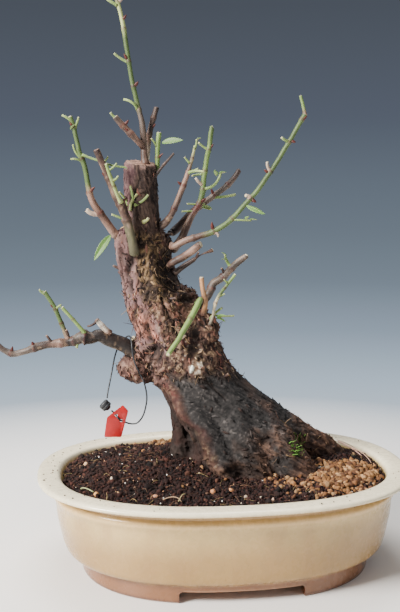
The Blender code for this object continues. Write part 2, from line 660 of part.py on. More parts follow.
def make_gravel(name, centre, half, turn, thickness):
    """A patch of clay granules that lies on the soil as one lumpy layer."""
    bm = bmesh.new()
    c, s = math.cos(turn), math.sin(turn)
    sides = 20
    steps = (0.3, 0.6, 0.85, 1.0)

    def point(scale, angle, lift):
        spot = Vector((math.cos(angle) * 2, math.sin(angle) * 2, centre[0]))
        wobble = 1 + 0.16 * noise.noise(spot)
        u = half[0] * scale * wobble * math.cos(angle)
        v = half[1] * scale * wobble * math.sin(angle)
        x, y = centre[0] + u * c - v * s, centre[1] + u * s + v * c
        return bm.verts.new((x * MM, y * MM, (soil_height(x, y) + lift) * MM))

    def layer(scales, lift):
        loops = []
        for scale in scales:
            bumps = [0.0] * sides
            if lift:
                swell = thickness * (1 - scale ** 4)
                bumps = [swell * (0.7 + 0.5 * noise.noise(Vector((i * 1.7, scale * 9, 2.0))))
                         for i in range(sides)]
            angles = [2 * math.pi * i / sides for i in range(sides)]
            loops.append([point(scale, a, 1.1 + b + lift) for a, b in zip(angles, bumps)])
        return loops

    loops = layer(steps, 0.0) + layer(reversed(steps), 0.8)
    for lower, upper in zip(loops, loops[1:]):
        for i in range(sides):
            j = (i + 1) % sides
            bm.faces.new((lower[i], lower[j], upper[j], upper[i]))
    bm.faces.new(loops[0])
    bm.faces.new(loops[-1])
    patch = object_from_bmesh(name, bm)
    return finish(patch, CLAY_TAN, POT_FRAME)


# Tag

def make_tag():
    curve = bpy.data.curves.new("tag", "CURVE")
    curve.dimensions = "2D"
    curve.fill_mode = "BOTH"
    curve.extrude = TAG_THICKNESS / 2 * MM
    spline = curve.splines.new("POLY")
    spline.points.add(len(TAG_OUTLINE) - 1)
    for point, (across, height) in zip(spline.points, TAG_OUTLINE):
        point.co = (across * MM, height * MM, 0, 1)
    spline.use_cyclic_u = True
    flat = bpy.data.objects.new("tag", curve)
    flat.rotation_euler = (math.pi / 2, 0, 0)
    flat.location = (0, TAG_DEPTH * MM, 0)
    PARTS.objects.link(flat)
    tag = as_mesh(flat)
    for across, height in TAG_HOLES:
        bm = bmesh.new()
        bmesh.ops.create_cone(bm, cap_ends=True, segments=12, radius1=TAG_HOLE_RADIUS * MM,
                              radius2=TAG_HOLE_RADIUS * MM, depth=6 * MM)
        hole = hide_cutter(object_from_bmesh("tag_hole", bm, CUTTERS))
        hole.rotation_euler = (math.pi / 2, 0, 0)
        hole.location = (across * MM, TAG_DEPTH * MM, height * MM)
        boolean(tag, hole)
    finish(tag, RED_PLASTIC, TREE_FRAME, 30)

    centre, way = Vector(BEAD[0]), Vector(BEAD[1])
    half = way / 2
    rows = [(*(centre - half * 1.15), 1.1), (*(centre - half * 0.75), BEAD_RADIUS * 0.66),
            (*(centre - half * 0.3), BEAD_RADIUS), (*(centre + half * 0.5), BEAD_RADIUS),
            (*(centre + half * 0.9), BEAD_RADIUS * 0.8)]
    finish(tube("tag_bead", rows, spacing=3.0, resolution=3), BLACK_PLASTIC, TREE_FRAME)

    rows = [(*point, STRING_RADIUS) for point in STRING_ROUTE]
    finish(tube("tag_string", rows, spacing=3.2), BLACK_PLASTIC, TREE_FRAME, 60)


clear_scene()
PARTS = make_collection("bonsai_tree_in_pot")
CUTTERS = make_collection("cutters")
POT_FRAME = make_empty("pot_frame", POT_CENTRE)
TREE_FRAME = make_empty("tree_frame", turn=TREE_TURN, parent=POT_FRAME)

GLAZE = make_material("cream_glaze", (0.78, 0.70, 0.56), 0.25)
BARK = make_material("bark", (0.14, 0.09, 0.07), 0.9)
TWIG_BARK = make_material("twig_bark", (0.26, 0.16, 0.12), 0.8)
GREEN_BARK = make_material("green_bark", (0.26, 0.36, 0.10), 0.5)
LEAF_GREEN = make_material("leaf_green", (0.16, 0.34, 0.07), 0.5)
SOIL_BROWN = make_material("soil", (0.10, 0.05, 0.035), 0.95)
CLAY_TAN = make_material("clay_granules", (0.50, 0.29, 0.16), 0.95)
BLACK_PLASTIC = make_material("black_plastic", (0.02, 0.02, 0.025), 0.4)
RED_PLASTIC = make_material("red_plastic", (0.62, 0.03, 0.03), 0.4)
ALUMINIUM = make_material("aluminium_wire", (0.6, 0.6, 0.6), 0.35, 1.0)

make_pot_wall()
make_pot_floor()
make_foot(-1, "left")
make_foot(1, "right")
make_drainage(-1, "left")
make_drainage(1, "right")
TRUNK = make_trunk()
make_stems(TRUNK)
for leaf_name, leaf_shape in LEAVES.items():
    make_leaf(leaf_name, *leaf_shape)
make_soil(TRUNK)
make_gravel("clay_granules_right", (81, -33), (31, 16), 0.72, 2.2)
make_gravel("clay_granules_back", (-30, 68), (20, 7), 0.0, 1.8)
make_tag()
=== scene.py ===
"""Looks of a bonsai tree in an oval glazed pot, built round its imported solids.

Lengths in the tables are in millimetres. Places on the tree are in its own frame, which is turned
a little against the pot: across (to the right of its front), depth (away from its front), height.
"""

import math

import bmesh
import bpy
import numpy as np
from mathutils import Matrix, Vector
from mathutils.bvhtree import BVHTree


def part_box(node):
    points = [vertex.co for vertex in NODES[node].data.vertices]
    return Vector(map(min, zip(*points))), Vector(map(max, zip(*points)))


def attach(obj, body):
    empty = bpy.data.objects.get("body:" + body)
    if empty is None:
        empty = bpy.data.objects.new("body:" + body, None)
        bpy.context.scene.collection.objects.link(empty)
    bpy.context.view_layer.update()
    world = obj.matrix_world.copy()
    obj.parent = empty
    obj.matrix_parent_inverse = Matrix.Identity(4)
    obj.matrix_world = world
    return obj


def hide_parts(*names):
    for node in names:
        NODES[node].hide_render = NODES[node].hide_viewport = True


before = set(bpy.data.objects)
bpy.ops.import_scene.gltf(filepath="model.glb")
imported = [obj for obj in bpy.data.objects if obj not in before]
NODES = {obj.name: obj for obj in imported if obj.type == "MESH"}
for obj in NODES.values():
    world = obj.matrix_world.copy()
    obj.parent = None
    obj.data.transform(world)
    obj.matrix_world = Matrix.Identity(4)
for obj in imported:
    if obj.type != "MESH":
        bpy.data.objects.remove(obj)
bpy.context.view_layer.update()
MM = 0.001

POT_LOW, POT_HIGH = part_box("pot")
POT_CENTRE = Vector(((POT_LOW.x + POT_HIGH.x) / 2, (POT_LOW.y + POT_HIGH.y) / 2, 0))
TREE_TURN = math.radians(-7.8)


# Places

def tree(points):
    """Row coordinates in metres of points in the tree's frame in millimetres."""
    p = np.asarray(points, float) * MM
    c, s = math.cos(TREE_TURN), math.sin(TREE_TURN)
    x = p[..., 0] * c - p[..., 1] * s + POT_CENTRE.x
    y = p[..., 0] * s + p[..., 1] * c + POT_CENTRE.y
    return np.stack([x, y, p[..., 2]], -1)


def to_tree(points):
    """The other way: the tree's frame, in millimetres."""
    p = np.asarray(points, float) - np.array([POT_CENTRE.x, POT_CENTRE.y, 0])
    c, s = math.cos(-TREE_TURN), math.sin(-TREE_TURN)
    return np.stack([p[..., 0] * c - p[..., 1] * s, p[..., 0] * s + p[..., 1] * c, p[..., 2]], -1) / MM


def tree_way(vectors):
    """Row direction or offset, in metres, of a vector in the tree's frame in millimetres."""
    return tree(vectors) - np.array([POT_CENTRE.x, POT_CENTRE.y, 0])


def vertices_of(mesh):
    co = np.empty(len(mesh.vertices) * 3, np.float32)
    mesh.vertices.foreach_get("co", co)
    return co.reshape(-1, 3).astype(float)


def set_vertices(mesh, co):
    mesh.vertices.foreach_set("co", np.asarray(co, np.float32).ravel())
    mesh.update()


def normals_of(mesh):
    normals = np.empty(len(mesh.vertices) * 3, np.float32)
    mesh.vertices.foreach_get("normal", normals)
    return normals.reshape(-1, 3).astype(float)


def unit(vectors):
    vectors = np.asarray(vectors, float)
    return vectors / np.maximum(np.linalg.norm(vectors, axis=-1, keepdims=True), 1e-12)


# Camera

CAMERA_TURN = math.radians(7.76)
CAMERA_PITCH = math.radians(7.68)
CAMERA_DISTANCE = 0.692
AIM_RIGHT = -0.0165
AIM_HEIGHT = 0.1789
LENS = 90


def make_camera():
    right = Vector((math.cos(CAMERA_TURN), -math.sin(CAMERA_TURN), 0))
    level = Vector((math.sin(CAMERA_TURN), math.cos(CAMERA_TURN), 0))
    forward = level * math.cos(CAMERA_PITCH) - Vector((0, 0, math.sin(CAMERA_PITCH)))
    aim = POT_CENTRE + right * AIM_RIGHT + Vector((0, 0, AIM_HEIGHT))
    data = bpy.data.cameras.new("camera")
    data.sensor_fit = "HORIZONTAL"
    data.sensor_width = 36
    data.lens = LENS
    data.clip_start = 0.01
    camera = bpy.data.objects.new("camera", data)
    camera.location = aim - forward * CAMERA_DISTANCE
    camera.rotation_euler = forward.to_track_quat("-Z", "Y").to_euler()
    bpy.context.scene.collection.objects.link(camera)
    bpy.context.scene.camera = camera


# Noise over arrays of points

def lattice(ix, iy, iz, seed):
    n = ix * np.uint32(374761393) + iy * np.uint32(668265263) + iz * np.uint32(2246822519)
    n = n + np.uint32(seed * 3266489917 % 2 ** 32)
    n = (n ^ (n >> np.uint32(13))) * np.uint32(1274126177)
    n = n ^ (n >> np.uint32(16))
    return (n & np.uint32(0xFFFF)).astype(float) / 32767.5 - 1


def field(points, size, seed=0):
    """Smooth noise from -1 to 1 whose lumps are about the given size."""
    p = np.asarray(points, float) / size + 1000.5
    whole = np.floor(p).astype(np.uint32)
    part = p - np.floor(p)
    part = part * part * (3 - 2 * part)
    total = 0
    for corner in range(8):
        step = np.array([corner & 1, corner >> 1 & 1, corner >> 2 & 1])
        weight = np.where(step, part, 1 - part).prod(-1)
        cell = whole + step.astype(np.uint32)
        total = total + weight * lattice(cell[..., 0], cell[..., 1], cell[..., 2], seed)
    return total


def layered(points, size, octaves=4, seed=0):
    return sum(field(points, size / 2 ** k, seed + k) / 1.7 ** k for k in range(octaves)) / 1.6


def stretched(points, way, share):
    """The points squeezed along a direction, so that noise over them runs along it."""
    way = unit(way)
    return points - np.outer(points @ way, way) * (1 - share)


def ramp(value, low, high):
    """0 below low, 1 above high, smooth between."""
    t = np.clip((value - low) / (high - low), 0, 1)
    return t * t * (3 - 2 * t)


def band(value, low, high, soft):
    return ramp(value, low - soft, low + soft) * (1 - ramp(value, high - soft, high + soft))


def blend(base, other, weight):
    """From the base toward the other by a weight for each point; either may be a single colour."""
    weight = np.asarray(weight)[..., None]
    return np.asarray(base, float) * (1 - weight) + np.asarray(other, float) * weight


def distance_to_route(points, route):
    """Distance from each point to a line through the route's points."""
    route = np.asarray(route, float)
    best = np.full(len(points), 1e9)
    for a, b in zip(route, route[1:]):
        along = np.clip(((points - a) @ (b - a)) / ((b - a) @ (b - a)), 0, 1)
        best = np.minimum(best, np.linalg.norm(points - a - along[:, None] * (b - a), axis=1))
    return best


# Materials. Each piece carries a "tint" colour for every vertex; the material varies it, and gives it
# roughness and bump.

class Nodes:
    """A material's node tree, with a short way to add a node and link its inputs."""

    def __init__(self, name):
        self.material = bpy.data.materials.new(name)
        self.material.use_nodes = True
        self.tree = self.material.node_tree
        self.shader = self.tree.nodes["Principled BSDF"]
        self.place = self.add("ShaderNodeTexCoord").outputs["Object"]

    def add(self, kind, inputs=None, **settings):
        node = self.tree.nodes.new(kind)
        for key, value in settings.items():
            setattr(node, key, value)
        for key, value in (inputs or {}).items():
            if isinstance(value, bpy.types.NodeSocket):
                self.tree.links.new(value, node.inputs[key])
            else:
                node.inputs[key].default_value = value
        return node

    def noise(self, size, detail=4.0, roughness=0.55, place=None):
        node = self.add("ShaderNodeTexNoise", {"Vector": place or self.place, "Scale": 1 / (size * MM),
                                               "Detail": detail, "Roughness": roughness})
        return node.outputs["Fac"]

    def spread(self, value, low, high, to_low, to_high):
        node = self.add("ShaderNodeMapRange", {0: value, 1: low, 2: high, 3: to_low, 4: to_high})
        return node.outputs[0]

    def squeeze(self, way, share):
        """Object coordinates turned so that Z runs along a direction, and squeezed along it."""
        turn = Vector(way).to_track_quat("Z", "Y").inverted().to_euler()
        node = self.add("ShaderNodeMapping", {"Vector": self.place, "Rotation": turn})
        node = self.add("ShaderNodeMapping", {"Vector": node.outputs[0], "Scale": (1, 1, share)})
        return node.outputs[0]

    def mix(self, first, second, factor, mode="MIX"):
        node = self.add("ShaderNodeMix", data_type="RGBA", blend_type=mode)
        for key, value in ((6, first), (7, second), (0, factor)):
            if isinstance(value, bpy.types.NodeSocket):
                self.tree.links.new(value, node.inputs[key])
            else:
                node.inputs[key].default_value = value
        return node.outputs[2]

    def tint(self):
        return self.add("ShaderNodeAttribute", attribute_name="tint").outputs["Color"]

    def varied(self, colour, value, low, high):
        """The colour made darker and lighter by a noise value."""
        shade = self.spread(value, 0.3, 0.7, low, high)
        grey = self.add("ShaderNodeCombineColor", {0: shade, 1: shade, 2: shade}).outputs[0]
        return self.mix(colour, grey, 1.0, "MULTIPLY")

    def bump(self, height, depth, strength=1.0):
        node = self.add("ShaderNodeBump", {"Height": height, "Distance": depth * MM, "Strength": strength})
        self.tree.links.new(node.outputs[0], self.shader.inputs["Normal"])

    def link(self, value, socket):
        self.tree.links.new(value, self.shader.inputs[socket])

    def set(self, **values):
        for key, value in values.items():
            self.shader.inputs[key.replace("_", " ")].default_value = value


def tinted_material(name, coarse, fine, spread, roughness, depth, squeeze=None, **settings):
    """Tint varied by coarse and fine noise, rough between two values, with a bump of some depth."""
    nodes = Nodes(name)
    place = nodes.squeeze(*squeeze) if squeeze else None
    large = nodes.noise(coarse)
    small = nodes.noise(fine, 6.0, 0.65, place)
    colour = nodes.varied(nodes.tint(), large, 1 - spread, 1 + spread)
    colour = nodes.varied(colour, small, 1 - 1.3 * spread, 1 + 1.3 * spread)
    nodes.link(colour, "Base Color")
    nodes.link(nodes.spread(small, 0.2, 0.8, *roughness), "Roughness")
    nodes.bump(small, depth)
    nodes.set(**settings)
    return nodes.material


def glaze_material():
    """Glossy cream glaze over a hand-made wall, with a faint mottle and dark specks."""
    nodes = Nodes("cream_glaze")
    cloud = nodes.noise(38, 3.0)
    mottle = nodes.noise(4.5, 5.0)
    colour = nodes.varied(nodes.tint(), cloud, 0.93, 1.06)
    colour = nodes.varied(colour, mottle, 0.96, 1.04)
    specks = nodes.spread(nodes.noise(1.7, 2.0, 0.4), 0.735, 0.76, 0, 1)
    patches = nodes.spread(nodes.noise(30, 2.0), 0.5, 0.62, 0, 0.8)
    dots = nodes.add("ShaderNodeMath", {0: specks, 1: patches}, operation="MULTIPLY").outputs[0]
    colour = nodes.mix(colour, (0.11, 0.06, 0.035, 1), dots)
    nodes.link(colour, "Base Color")
    nodes.link(nodes.spread(mottle, 0.3, 0.7, 0.2, 0.34), "Roughness")
    nodes.bump(cloud, 0.7, 0.5)
    nodes.set(Coat_Weight=0.35, Coat_Roughness=0.12)
    return nodes.material


def plain_material(name, colour, other, size, roughness, depth, **settings):
    """Two close colours mixed by noise."""
    nodes = Nodes(name)
    value = nodes.noise(size, 5.0)
    share = nodes.spread(value, 0.35, 0.65, 0, 1)
    nodes.link(nodes.mix((*colour, 1), (*other, 1), share), "Base Color")
    nodes.link(nodes.spread(value, 0.3, 0.7, *roughness), "Roughness")
    nodes.bump(value, depth)
    nodes.set(**settings)
    return nodes.material


TRUNK_WAY = tree_way((-40, 0, 150))
FLARE_WAY = tree_way((72, 17, -44))


# Pieces

def add_piece(name, mesh, material, replaces=(), smooth=True):
    piece = bpy.data.objects.new(name, mesh)
    bpy.context.scene.collection.objects.link(piece)
    mesh.materials.clear()
    mesh.materials.append(material)
    if smooth:
        mesh.shade_smooth()
    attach(piece, "root")
    if replaces:
        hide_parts(*replaces)
    return piece


def set_tint(mesh, tint):
    """One colour for each vertex, in place of any it has."""
    if "tint" in mesh.attributes:
        mesh.attributes.remove(mesh.attributes["tint"])
    layer = mesh.attributes.new("tint", "FLOAT_COLOR", "POINT")
    colours = np.ones((len(mesh.vertices), 4), np.float32)
    colours[:, :3] = np.clip(tint, 0, 1)
    layer.data.foreach_set("color", colours.ravel())


class Heap:
    """Shapes gathered into one mesh, each vertex with its tint."""

    def __init__(self):
        self.vertices, self.faces, self.tints, self.count = [], [], [], 0

    def add(self, vertices, faces, tint):
        """Takes vertices in metres, a list of face arrays, and one tint or one for each vertex."""
        vertices = np.asarray(vertices, float).reshape(-1, 3)
        self.vertices.append(vertices)
        self.faces += [np.asarray(block, int) + self.count for block in faces if len(block)]
        self.tints.append(np.broadcast_to(np.asarray(tint, float), vertices.shape))
        self.count += len(vertices)

    def mesh(self, name):
        mesh = bpy.data.meshes.new(name)
        mesh.vertices.add(self.count)
        set_vertices(mesh, np.concatenate(self.vertices))
        corners = np.concatenate([block.ravel() for block in self.faces])
        sizes = np.concatenate([np.full(len(block), block.shape[1]) for block in self.faces])
        starts = np.concatenate([[0], np.cumsum(sizes)[:-1]])
        mesh.loops.add(len(corners))
        mesh.loops.foreach_set("vertex_index", corners.astype(np.int32))
        mesh.polygons.add(len(sizes))
        mesh.polygons.foreach_set("loop_start", starts.astype(np.int32))
        mesh.update(calc_edges=True)
        set_tint(mesh, np.concatenate(self.tints))
        return mesh

    def piece(self, name, material, slot, replaces=(), smooth=True):
        return add_piece(name, self.mesh(name), material, replaces, smooth)


def tube_faces(rings, sides):
    """Quads between rings of vertices, and fans to the two end centres that come after the rings."""
    i = np.arange(sides)
    j = (i + 1) % sides
    quads = [np.stack([k * sides + i, k * sides + j, (k + 1) * sides + j, (k + 1) * sides + i], 1)
             for k in range(rings - 1)]
    last, base = (rings - 1) * sides, rings * sides
    fans = [np.stack([j, i, np.full(sides, base)], 1),
            np.stack([last + i, last + j, np.full(sides, base + 1)], 1)]
    return [np.concatenate(quads), np.concatenate(fans)]


def blade_faces(rows, columns):
    """Faces of a thin blade: a grid of vertices for its upper side, then one for its lower side."""
    index = np.arange(rows * columns).reshape(rows, columns)
    upper = np.stack([index[:-1, :-1], index[:-1, 1:], index[1:, 1:], index[1:, :-1]], -1).reshape(-1, 4)
    rim = np.concatenate([index[0, :], index[1:, -1], index[-1, -2::-1], index[-2:0:-1, 0]])
    after = np.roll(rim, -1)
    step = rows * columns
    return [upper, upper[:, ::-1] + step, np.stack([after, rim, rim + step, after + step], 1)]


def sweep(route, radii, sides=12):
    """A closed round tube along a route: its vertices, and its faces as quads and end fans."""
    route = np.asarray(route, float)
    radii = np.asarray(radii, float)
    ahead = unit(np.gradient(route, axis=0))
    for i in range(1, len(route)):
        if np.linalg.norm(route[i] - route[i - 1]) < 1e-7:
            ahead[i] = ahead[i - 1]
    side = np.cross(ahead[0], (0, 0, 1.0))
    if np.linalg.norm(side) < 0.1:
        side = np.cross(ahead[0], (0, 1.0, 0))
    angles = np.arange(sides) * 2 * math.pi / sides
    rings = []
    for centre, way, radius in zip(route, ahead, radii):
        side = unit(side - way * (side @ way))
        up = np.cross(way, side)
        rings.append(centre + radius * (np.outer(np.cos(angles), side) + np.outer(np.sin(angles), up)))
    return np.concatenate(rings + [route[:1], route[-1:]]), tube_faces(len(route), sides)


def smooth_route(points, spacing):
    """Catmull-Rom curve through the points, which may carry more columns than a place."""
    points = [np.array(p, float) for p in points]
    ends = [2 * points[0] - points[1]] + points + [2 * points[-1] - points[-2]]
    route = []
    for i in range(1, len(ends) - 2):
        a, b, c, d = ends[i - 1:i + 3]
        steps = max(1, int(round(np.linalg.norm((c - b)[:3]) / spacing)))
        for k in range(steps):
            t = k / steps
            bend = 2 * b + (c - a) * t + (2 * a - 5 * b + 4 * c - d) * t * t
            bend += (3 * b - a - 3 * c + d) * t ** 3
            route.append(bend / 2)
    route.append(points[-1])
    return np.array(route)


def ring_values(values, sides):
    """Values for each ring, repeated for the ring's vertices and the two end centres."""
    values = np.asarray(values, float)
    return np.concatenate([np.repeat(values, sides, axis=0), values[:1], values[-1:]])


def solid_tree(name):
    mesh = NODES[name].data
    return BVHTree.FromPolygons([v.co for v in mesh.vertices], [p.vertices for p in mesh.polygons])


# Pot: rows of (inset from the rim's outer edge, height); the wall's rows follow a curve

FOOT_INSET = (29.0, 17.0)      # along and across the oval
FOOT_HEIGHT = 12.2
WALL_THICKNESS = 7.0
WALL_ROWS = [                  # height, and inset from the rim's edge along and across the oval
    (12.8, 24.0, 15.8),
    (14.0, 21.0, 14.4),
    (16.5, 18.6, 13.6),
    (21.0, 16.9, 13.2),
    (28.0, 15.2, 12.8),
    (38.0, 13.1, 12.4),
    (48.0, 12.3, 12.3),
]
FLOOR_UNDERSIDE = 9.5
FLOOR_TOP = 16.5
FOOT_RING_WIDTH = 11.0
OVAL_POWER = 2.38
POT_SIDES = 224
RIM_ROWS = [(10.9, 51.6), (10.6, 53.2), (10.9, 54.8), (12.3, 56.4), (12.0, 58.6), (9.0, 60.5),
            (4.5, 61.6), (1.2, 62.2), (0.0, 63.2), (0.2, 64.8), (1.8, 65.8), (5.0, 66.0), (11.5, 66.0),
            (14.6, 65.4), (16.0, 63.6), (17.0, 60.0), (19.0, 55.0)]
NOTCH_HALF_WIDTH = 40.7
NOTCH_HEIGHT = 8.0
DRAIN_RADIUS = 9.0
DRAIN_X = 45.0


def pot_rows():
    """Half sizes along and across, and height, of each row of the pot's skin in millimetres."""
    rim = (POT_HIGH - POT_LOW) / 2 / MM
    foot = (rim.x - FOOT_INSET[0], rim.y - FOOT_INSET[1])

    def inset(amount, height):
        return (rim.x - amount, rim.y - amount, height)

    def from_foot(amount, height):
        return (foot[0] - amount, foot[1] - amount, height)

    def wall(height, thickness=0.0):
        heights = [row[0] for row in WALL_ROWS]
        half = [rim[i] - thickness - np.interp(height, heights, [row[i + 1] for row in WALL_ROWS])
                for i in range(2)]
        return (*half, height)

    rows = [from_foot(FOOT_RING_WIDTH, FLOOR_UNDERSIDE), from_foot(FOOT_RING_WIDTH, 1.2)]
    rows += [from_foot(FOOT_RING_WIDTH - 1.2, 0.0), from_foot(1.6, 0.0), from_foot(0.4, 1.0)]
    rows += [from_foot(0.4, 6.0), from_foot(0.4, FOOT_HEIGHT - 1.0), from_foot(-0.4, FOOT_HEIGHT)]
    rows += [wall(height) for height in (12.8, 14.0, 16.5, 21, 28, 33, 38, 43, 48)]
    rows += [inset(*row) for row in RIM_ROWS]
    rows += [wall(height, WALL_THICKNESS) for height in (44, 36, 26)]
    bottom = wall(FLOOR_TOP, WALL_THICKNESS)
    rows += [(bottom[0] - step, bottom[1] - step, FLOOR_TOP + lift)
             for step, lift in ((2.0, 1.0), (6.0, 0.0))]
    rows = np.array(rows)
    for _ in range(2):
        # cut every corner, which rounds the edges
        first = rows[:-1] * 0.75 + rows[1:] * 0.25
        second = rows[:-1] * 0.25 + rows[1:] * 0.75
        rows = np.concatenate([rows[:1], np.stack([first, second], 1).reshape(-1, 3), rows[-1:]])
    return rows


def temporary(name, shape):
    """An object of a mesh, or of a bmesh, which is freed."""
    mesh = shape
    if isinstance(shape, bmesh.types.BMesh):
        mesh = bpy.data.meshes.new(name)
        shape.to_mesh(mesh)
        shape.free()
    piece = bpy.data.objects.new(name, mesh)
    bpy.context.scene.collection.objects.link(piece)
    return piece


def evaluated_mesh(piece):
    """The mesh that an object's modifiers give; the object is removed."""
    bpy.context.view_layer.update()
    mesh = bpy.data.meshes.new_from_object(piece.evaluated_get(bpy.context.evaluated_depsgraph_get()))
    bpy.data.objects.remove(piece, do_unlink=True)
    return mesh


def cut(piece, cutter):
    modifier = piece.modifiers.new("cut", "BOOLEAN")
    modifier.operation = "DIFFERENCE"
    modifier.solver = "EXACT"
    modifier.object = cutter
    mesh = evaluated_mesh(piece)
    bpy.data.objects.remove(cutter, do_unlink=True)
    return temporary("cut", mesh)


def notch_cutter():
    bm = bmesh.new()
    bmesh.ops.create_cube(bm, size=1.0)
    size = (2 * NOTCH_HALF_WIDTH * MM, 0.3, 2 * NOTCH_HEIGHT * MM)
    bmesh.ops.scale(bm, vec=size, verts=bm.verts)
    edges = [e for e in bm.edges if abs(e.verts[0].co.y - e.verts[1].co.y) > 0.1]
    bmesh.ops.bevel(bm, geom=edges, offset=2.4 * MM, segments=5, affect="EDGES", profile=0.5)
    bmesh.ops.translate(bm, vec=POT_CENTRE, verts=bm.verts)
    return temporary("notch", bm)


def round_cutter(place, radius, depth, segments, turn=Matrix()):
    """A round bar at a place in metres, its axis upright unless turned."""
    bm = bmesh.new()
    bmesh.ops.create_cone(bm, cap_ends=True, segments=segments, radius1=radius * MM, radius2=radius * MM,
                          depth=depth * MM, matrix=turn)
    bmesh.ops.translate(bm, vec=place, verts=bm.verts)
    return temporary("bar", bm)


GLAZE = (0.38, 0.225, 0.072)
GLAZE_UPPER = (0.56, 0.385, 0.155)     # paler toward the groove
GLAZE_DRIP = (0.34, 0.185, 0.062)
# painted shade: darkens the lower wall toward its right side
GLAZE_RIGHT_SHADE = (0.30, 0.17, 0.055)
# painted highlight along the bead under the groove
GLAZE_BEAD_HIGHLIGHT = (0.70, 0.47, 0.20)
# painted shade in the groove under the rim's overhang
GLAZE_GROOVE_SHADE = (0.42, 0.25, 0.085)
# painted highlight: the rim's top and inner lip made near white, as if lit from above
GLAZE_RIM_HIGHLIGHT = (0.93, 0.82, 0.58)
GLAZE_RIM_EDGE = (0.80, 0.62, 0.40)
FOOT_TAN = (0.185, 0.066, 0.027)
FOOT_RED = (0.075, 0.022, 0.010)
CLAY_BARE = (0.34, 0.18, 0.10)


def pot_tint(p, normals, facing_out):
    """Colours of the pot's skin: glaze paler upward, painted highlights on rim and bead, painted shade in the
    groove and on the right, worn on the foot, and bare underneath.
    """
    across, height = p[:, 0], p[:, 2]
    drips = field(p * (1, 1, 0.25), 9, 5)
    at_edge = np.abs(np.abs(across) - NOTCH_HALF_WIDTH)
    at_top = band(height, NOTCH_HEIGHT - 0.6, NOTCH_HEIGHT + 0.8, 0.5)
    at_top = at_top * (np.abs(across) < NOTCH_HALF_WIDTH + 1.3)
    tint = blend(GLAZE, GLAZE_UPPER, ramp(height + 4 * drips, 26, 50))
    for colour, weight in (
            (GLAZE_DRIP, 0.5 * ramp(drips, -0.1, 0.8) * band(height, 16, 50, 8)),
            # painted shade, stronger toward the right and the bottom of the wall
            (GLAZE_RIGHT_SHADE, 0.55 * ramp(across, 10, 110) * (1 - ramp(height, 34, 52))),
            # painted highlight on the bead
            (GLAZE_BEAD_HIGHLIGHT, ramp(height, 50.5, 52.5) * (1 - ramp(height, 54.5, 56))),
            # painted shade in the groove, on its outward faces
            (GLAZE_GROOVE_SHADE, band(height, 56.2, 60.6, 0.7) * (facing_out > -0.2)),
            # painted highlight over the rim's top
            (GLAZE_RIM_HIGHLIGHT, ramp(height, 61.4, 64.5)),
            (GLAZE_RIM_EDGE, 0.5 * band(height, 61.5, 63.2, 0.6) * ramp(drips, 0, 0.7)),
            (FOOT_RED, 0.5 * band(height, 11.4, 14.2, 1.4) * ramp(field(p, 6, 8), -0.5, 0.8)),
            (FOOT_TAN, 0.88 * (1 - ramp(height + 0.8 * drips, 10.0, 13.6))),
            (FOOT_RED, 0.85 * (1 - ramp(height, 0.6, 3.2 + 1.2 * drips))),
            (FOOT_RED, 0.6 * (1 - ramp(at_edge, 0.3, 2.0)) * (height < 9)),
            (FOOT_RED, 0.6 * at_top),
            (CLAY_BARE, (height < 10.5) & (normals[:, 2] < -0.4))):
        tint = blend(tint, colour, weight)
    return tint


def make_pot(material):
    """The pot's skin as one piece, with its foot notches and its drainage holes cut."""
    rows = pot_rows() * MM
    angles = np.arange(POT_SIDES) * 2 * math.pi / POT_SIDES
    x = np.sign(np.cos(angles)) * np.abs(np.cos(angles)) ** (2 / OVAL_POWER)
    y = np.sign(np.sin(angles)) * np.abs(np.sin(angles)) ** (2 / OVAL_POWER)
    rings = [np.stack([POT_CENTRE.x + row[0] * x, POT_CENTRE.y + row[1] * y, np.full(POT_SIDES, row[2])], 1)
             for row in rows]
    middle = np.array([(POT_CENTRE.x, POT_CENTRE.y, row[2]) for row in (rows[0], rows[-1])])
    heap = Heap()
    heap.add(np.concatenate(rings + [middle]), tube_faces(len(rows), POT_SIDES), GLAZE)
    pot = temporary("pot_skin", heap.mesh("pot_skin"))
    pot = cut(pot, notch_cutter())
    for side in (-1, 1):
        hole = POT_CENTRE + Vector((side * DRAIN_X, 0, FLOOR_TOP)) * MM
        pot = cut(pot, round_cutter(hole, DRAIN_RADIUS, 30, 40))
    mesh = evaluated_mesh(pot)
    co = vertices_of(mesh)
    normals = normals_of(mesh)
    # a hand-made wall isn't quite true
    wave = field(co / MM, 70, 3) * ramp(co[:, 2] / MM, 6, 30) * 0.35 * MM
    outward = unit((co - np.array(POT_CENTRE)) * (1, 1, 0))
    co += outward * wave[:, None]
    set_vertices(mesh, co)
    set_tint(mesh, pot_tint((co - np.array(POT_CENTRE)) / MM, normals, (normals * outward).sum(1)))
    mesh.set_sharp_from_angle(angle=math.radians(42))
    pot_nodes = [name for name in NODES if name.startswith("pot")]
    return add_piece("glazed_pot", mesh, material, pot_nodes, smooth=False)


# Trunk

CHARCOAL = (0.024, 0.0205, 0.0195)
LILAC_BARK = (0.185, 0.100, 0.094)
DARK_BARK = (0.024, 0.012, 0.009)
MID_BARK = (0.092, 0.042, 0.028)
TAN_BARK = (0.34, 0.22, 0.13)
OCHRE = (0.19, 0.115, 0.052)
PEELED = (0.42, 0.17, 0.115)
RED_BARK = (0.085, 0.022, 0.017)
PURPLE_BARK = (0.070, 0.030, 0.032)
SAWN = (0.30, 0.17, 0.12)
SAWN_RING = (0.22, 0.12, 0.08)
SAWN_STAIN = (0.09, 0.045, 0.03)
SAWN_RIM = (0.42, 0.27, 0.20)
SAWN_EDGE = (0.34, 0.20, 0.16)
WHITE_WOOD = (0.86, 0.77, 0.64)
NEAR_BLACK = (0.016, 0.010, 0.008)
LILAC_PALE = (0.33, 0.22, 0.205)
OCHRE_DARK = (0.040, 0.022, 0.014)
BURL_DARK = (0.085, 0.042, 0.034)
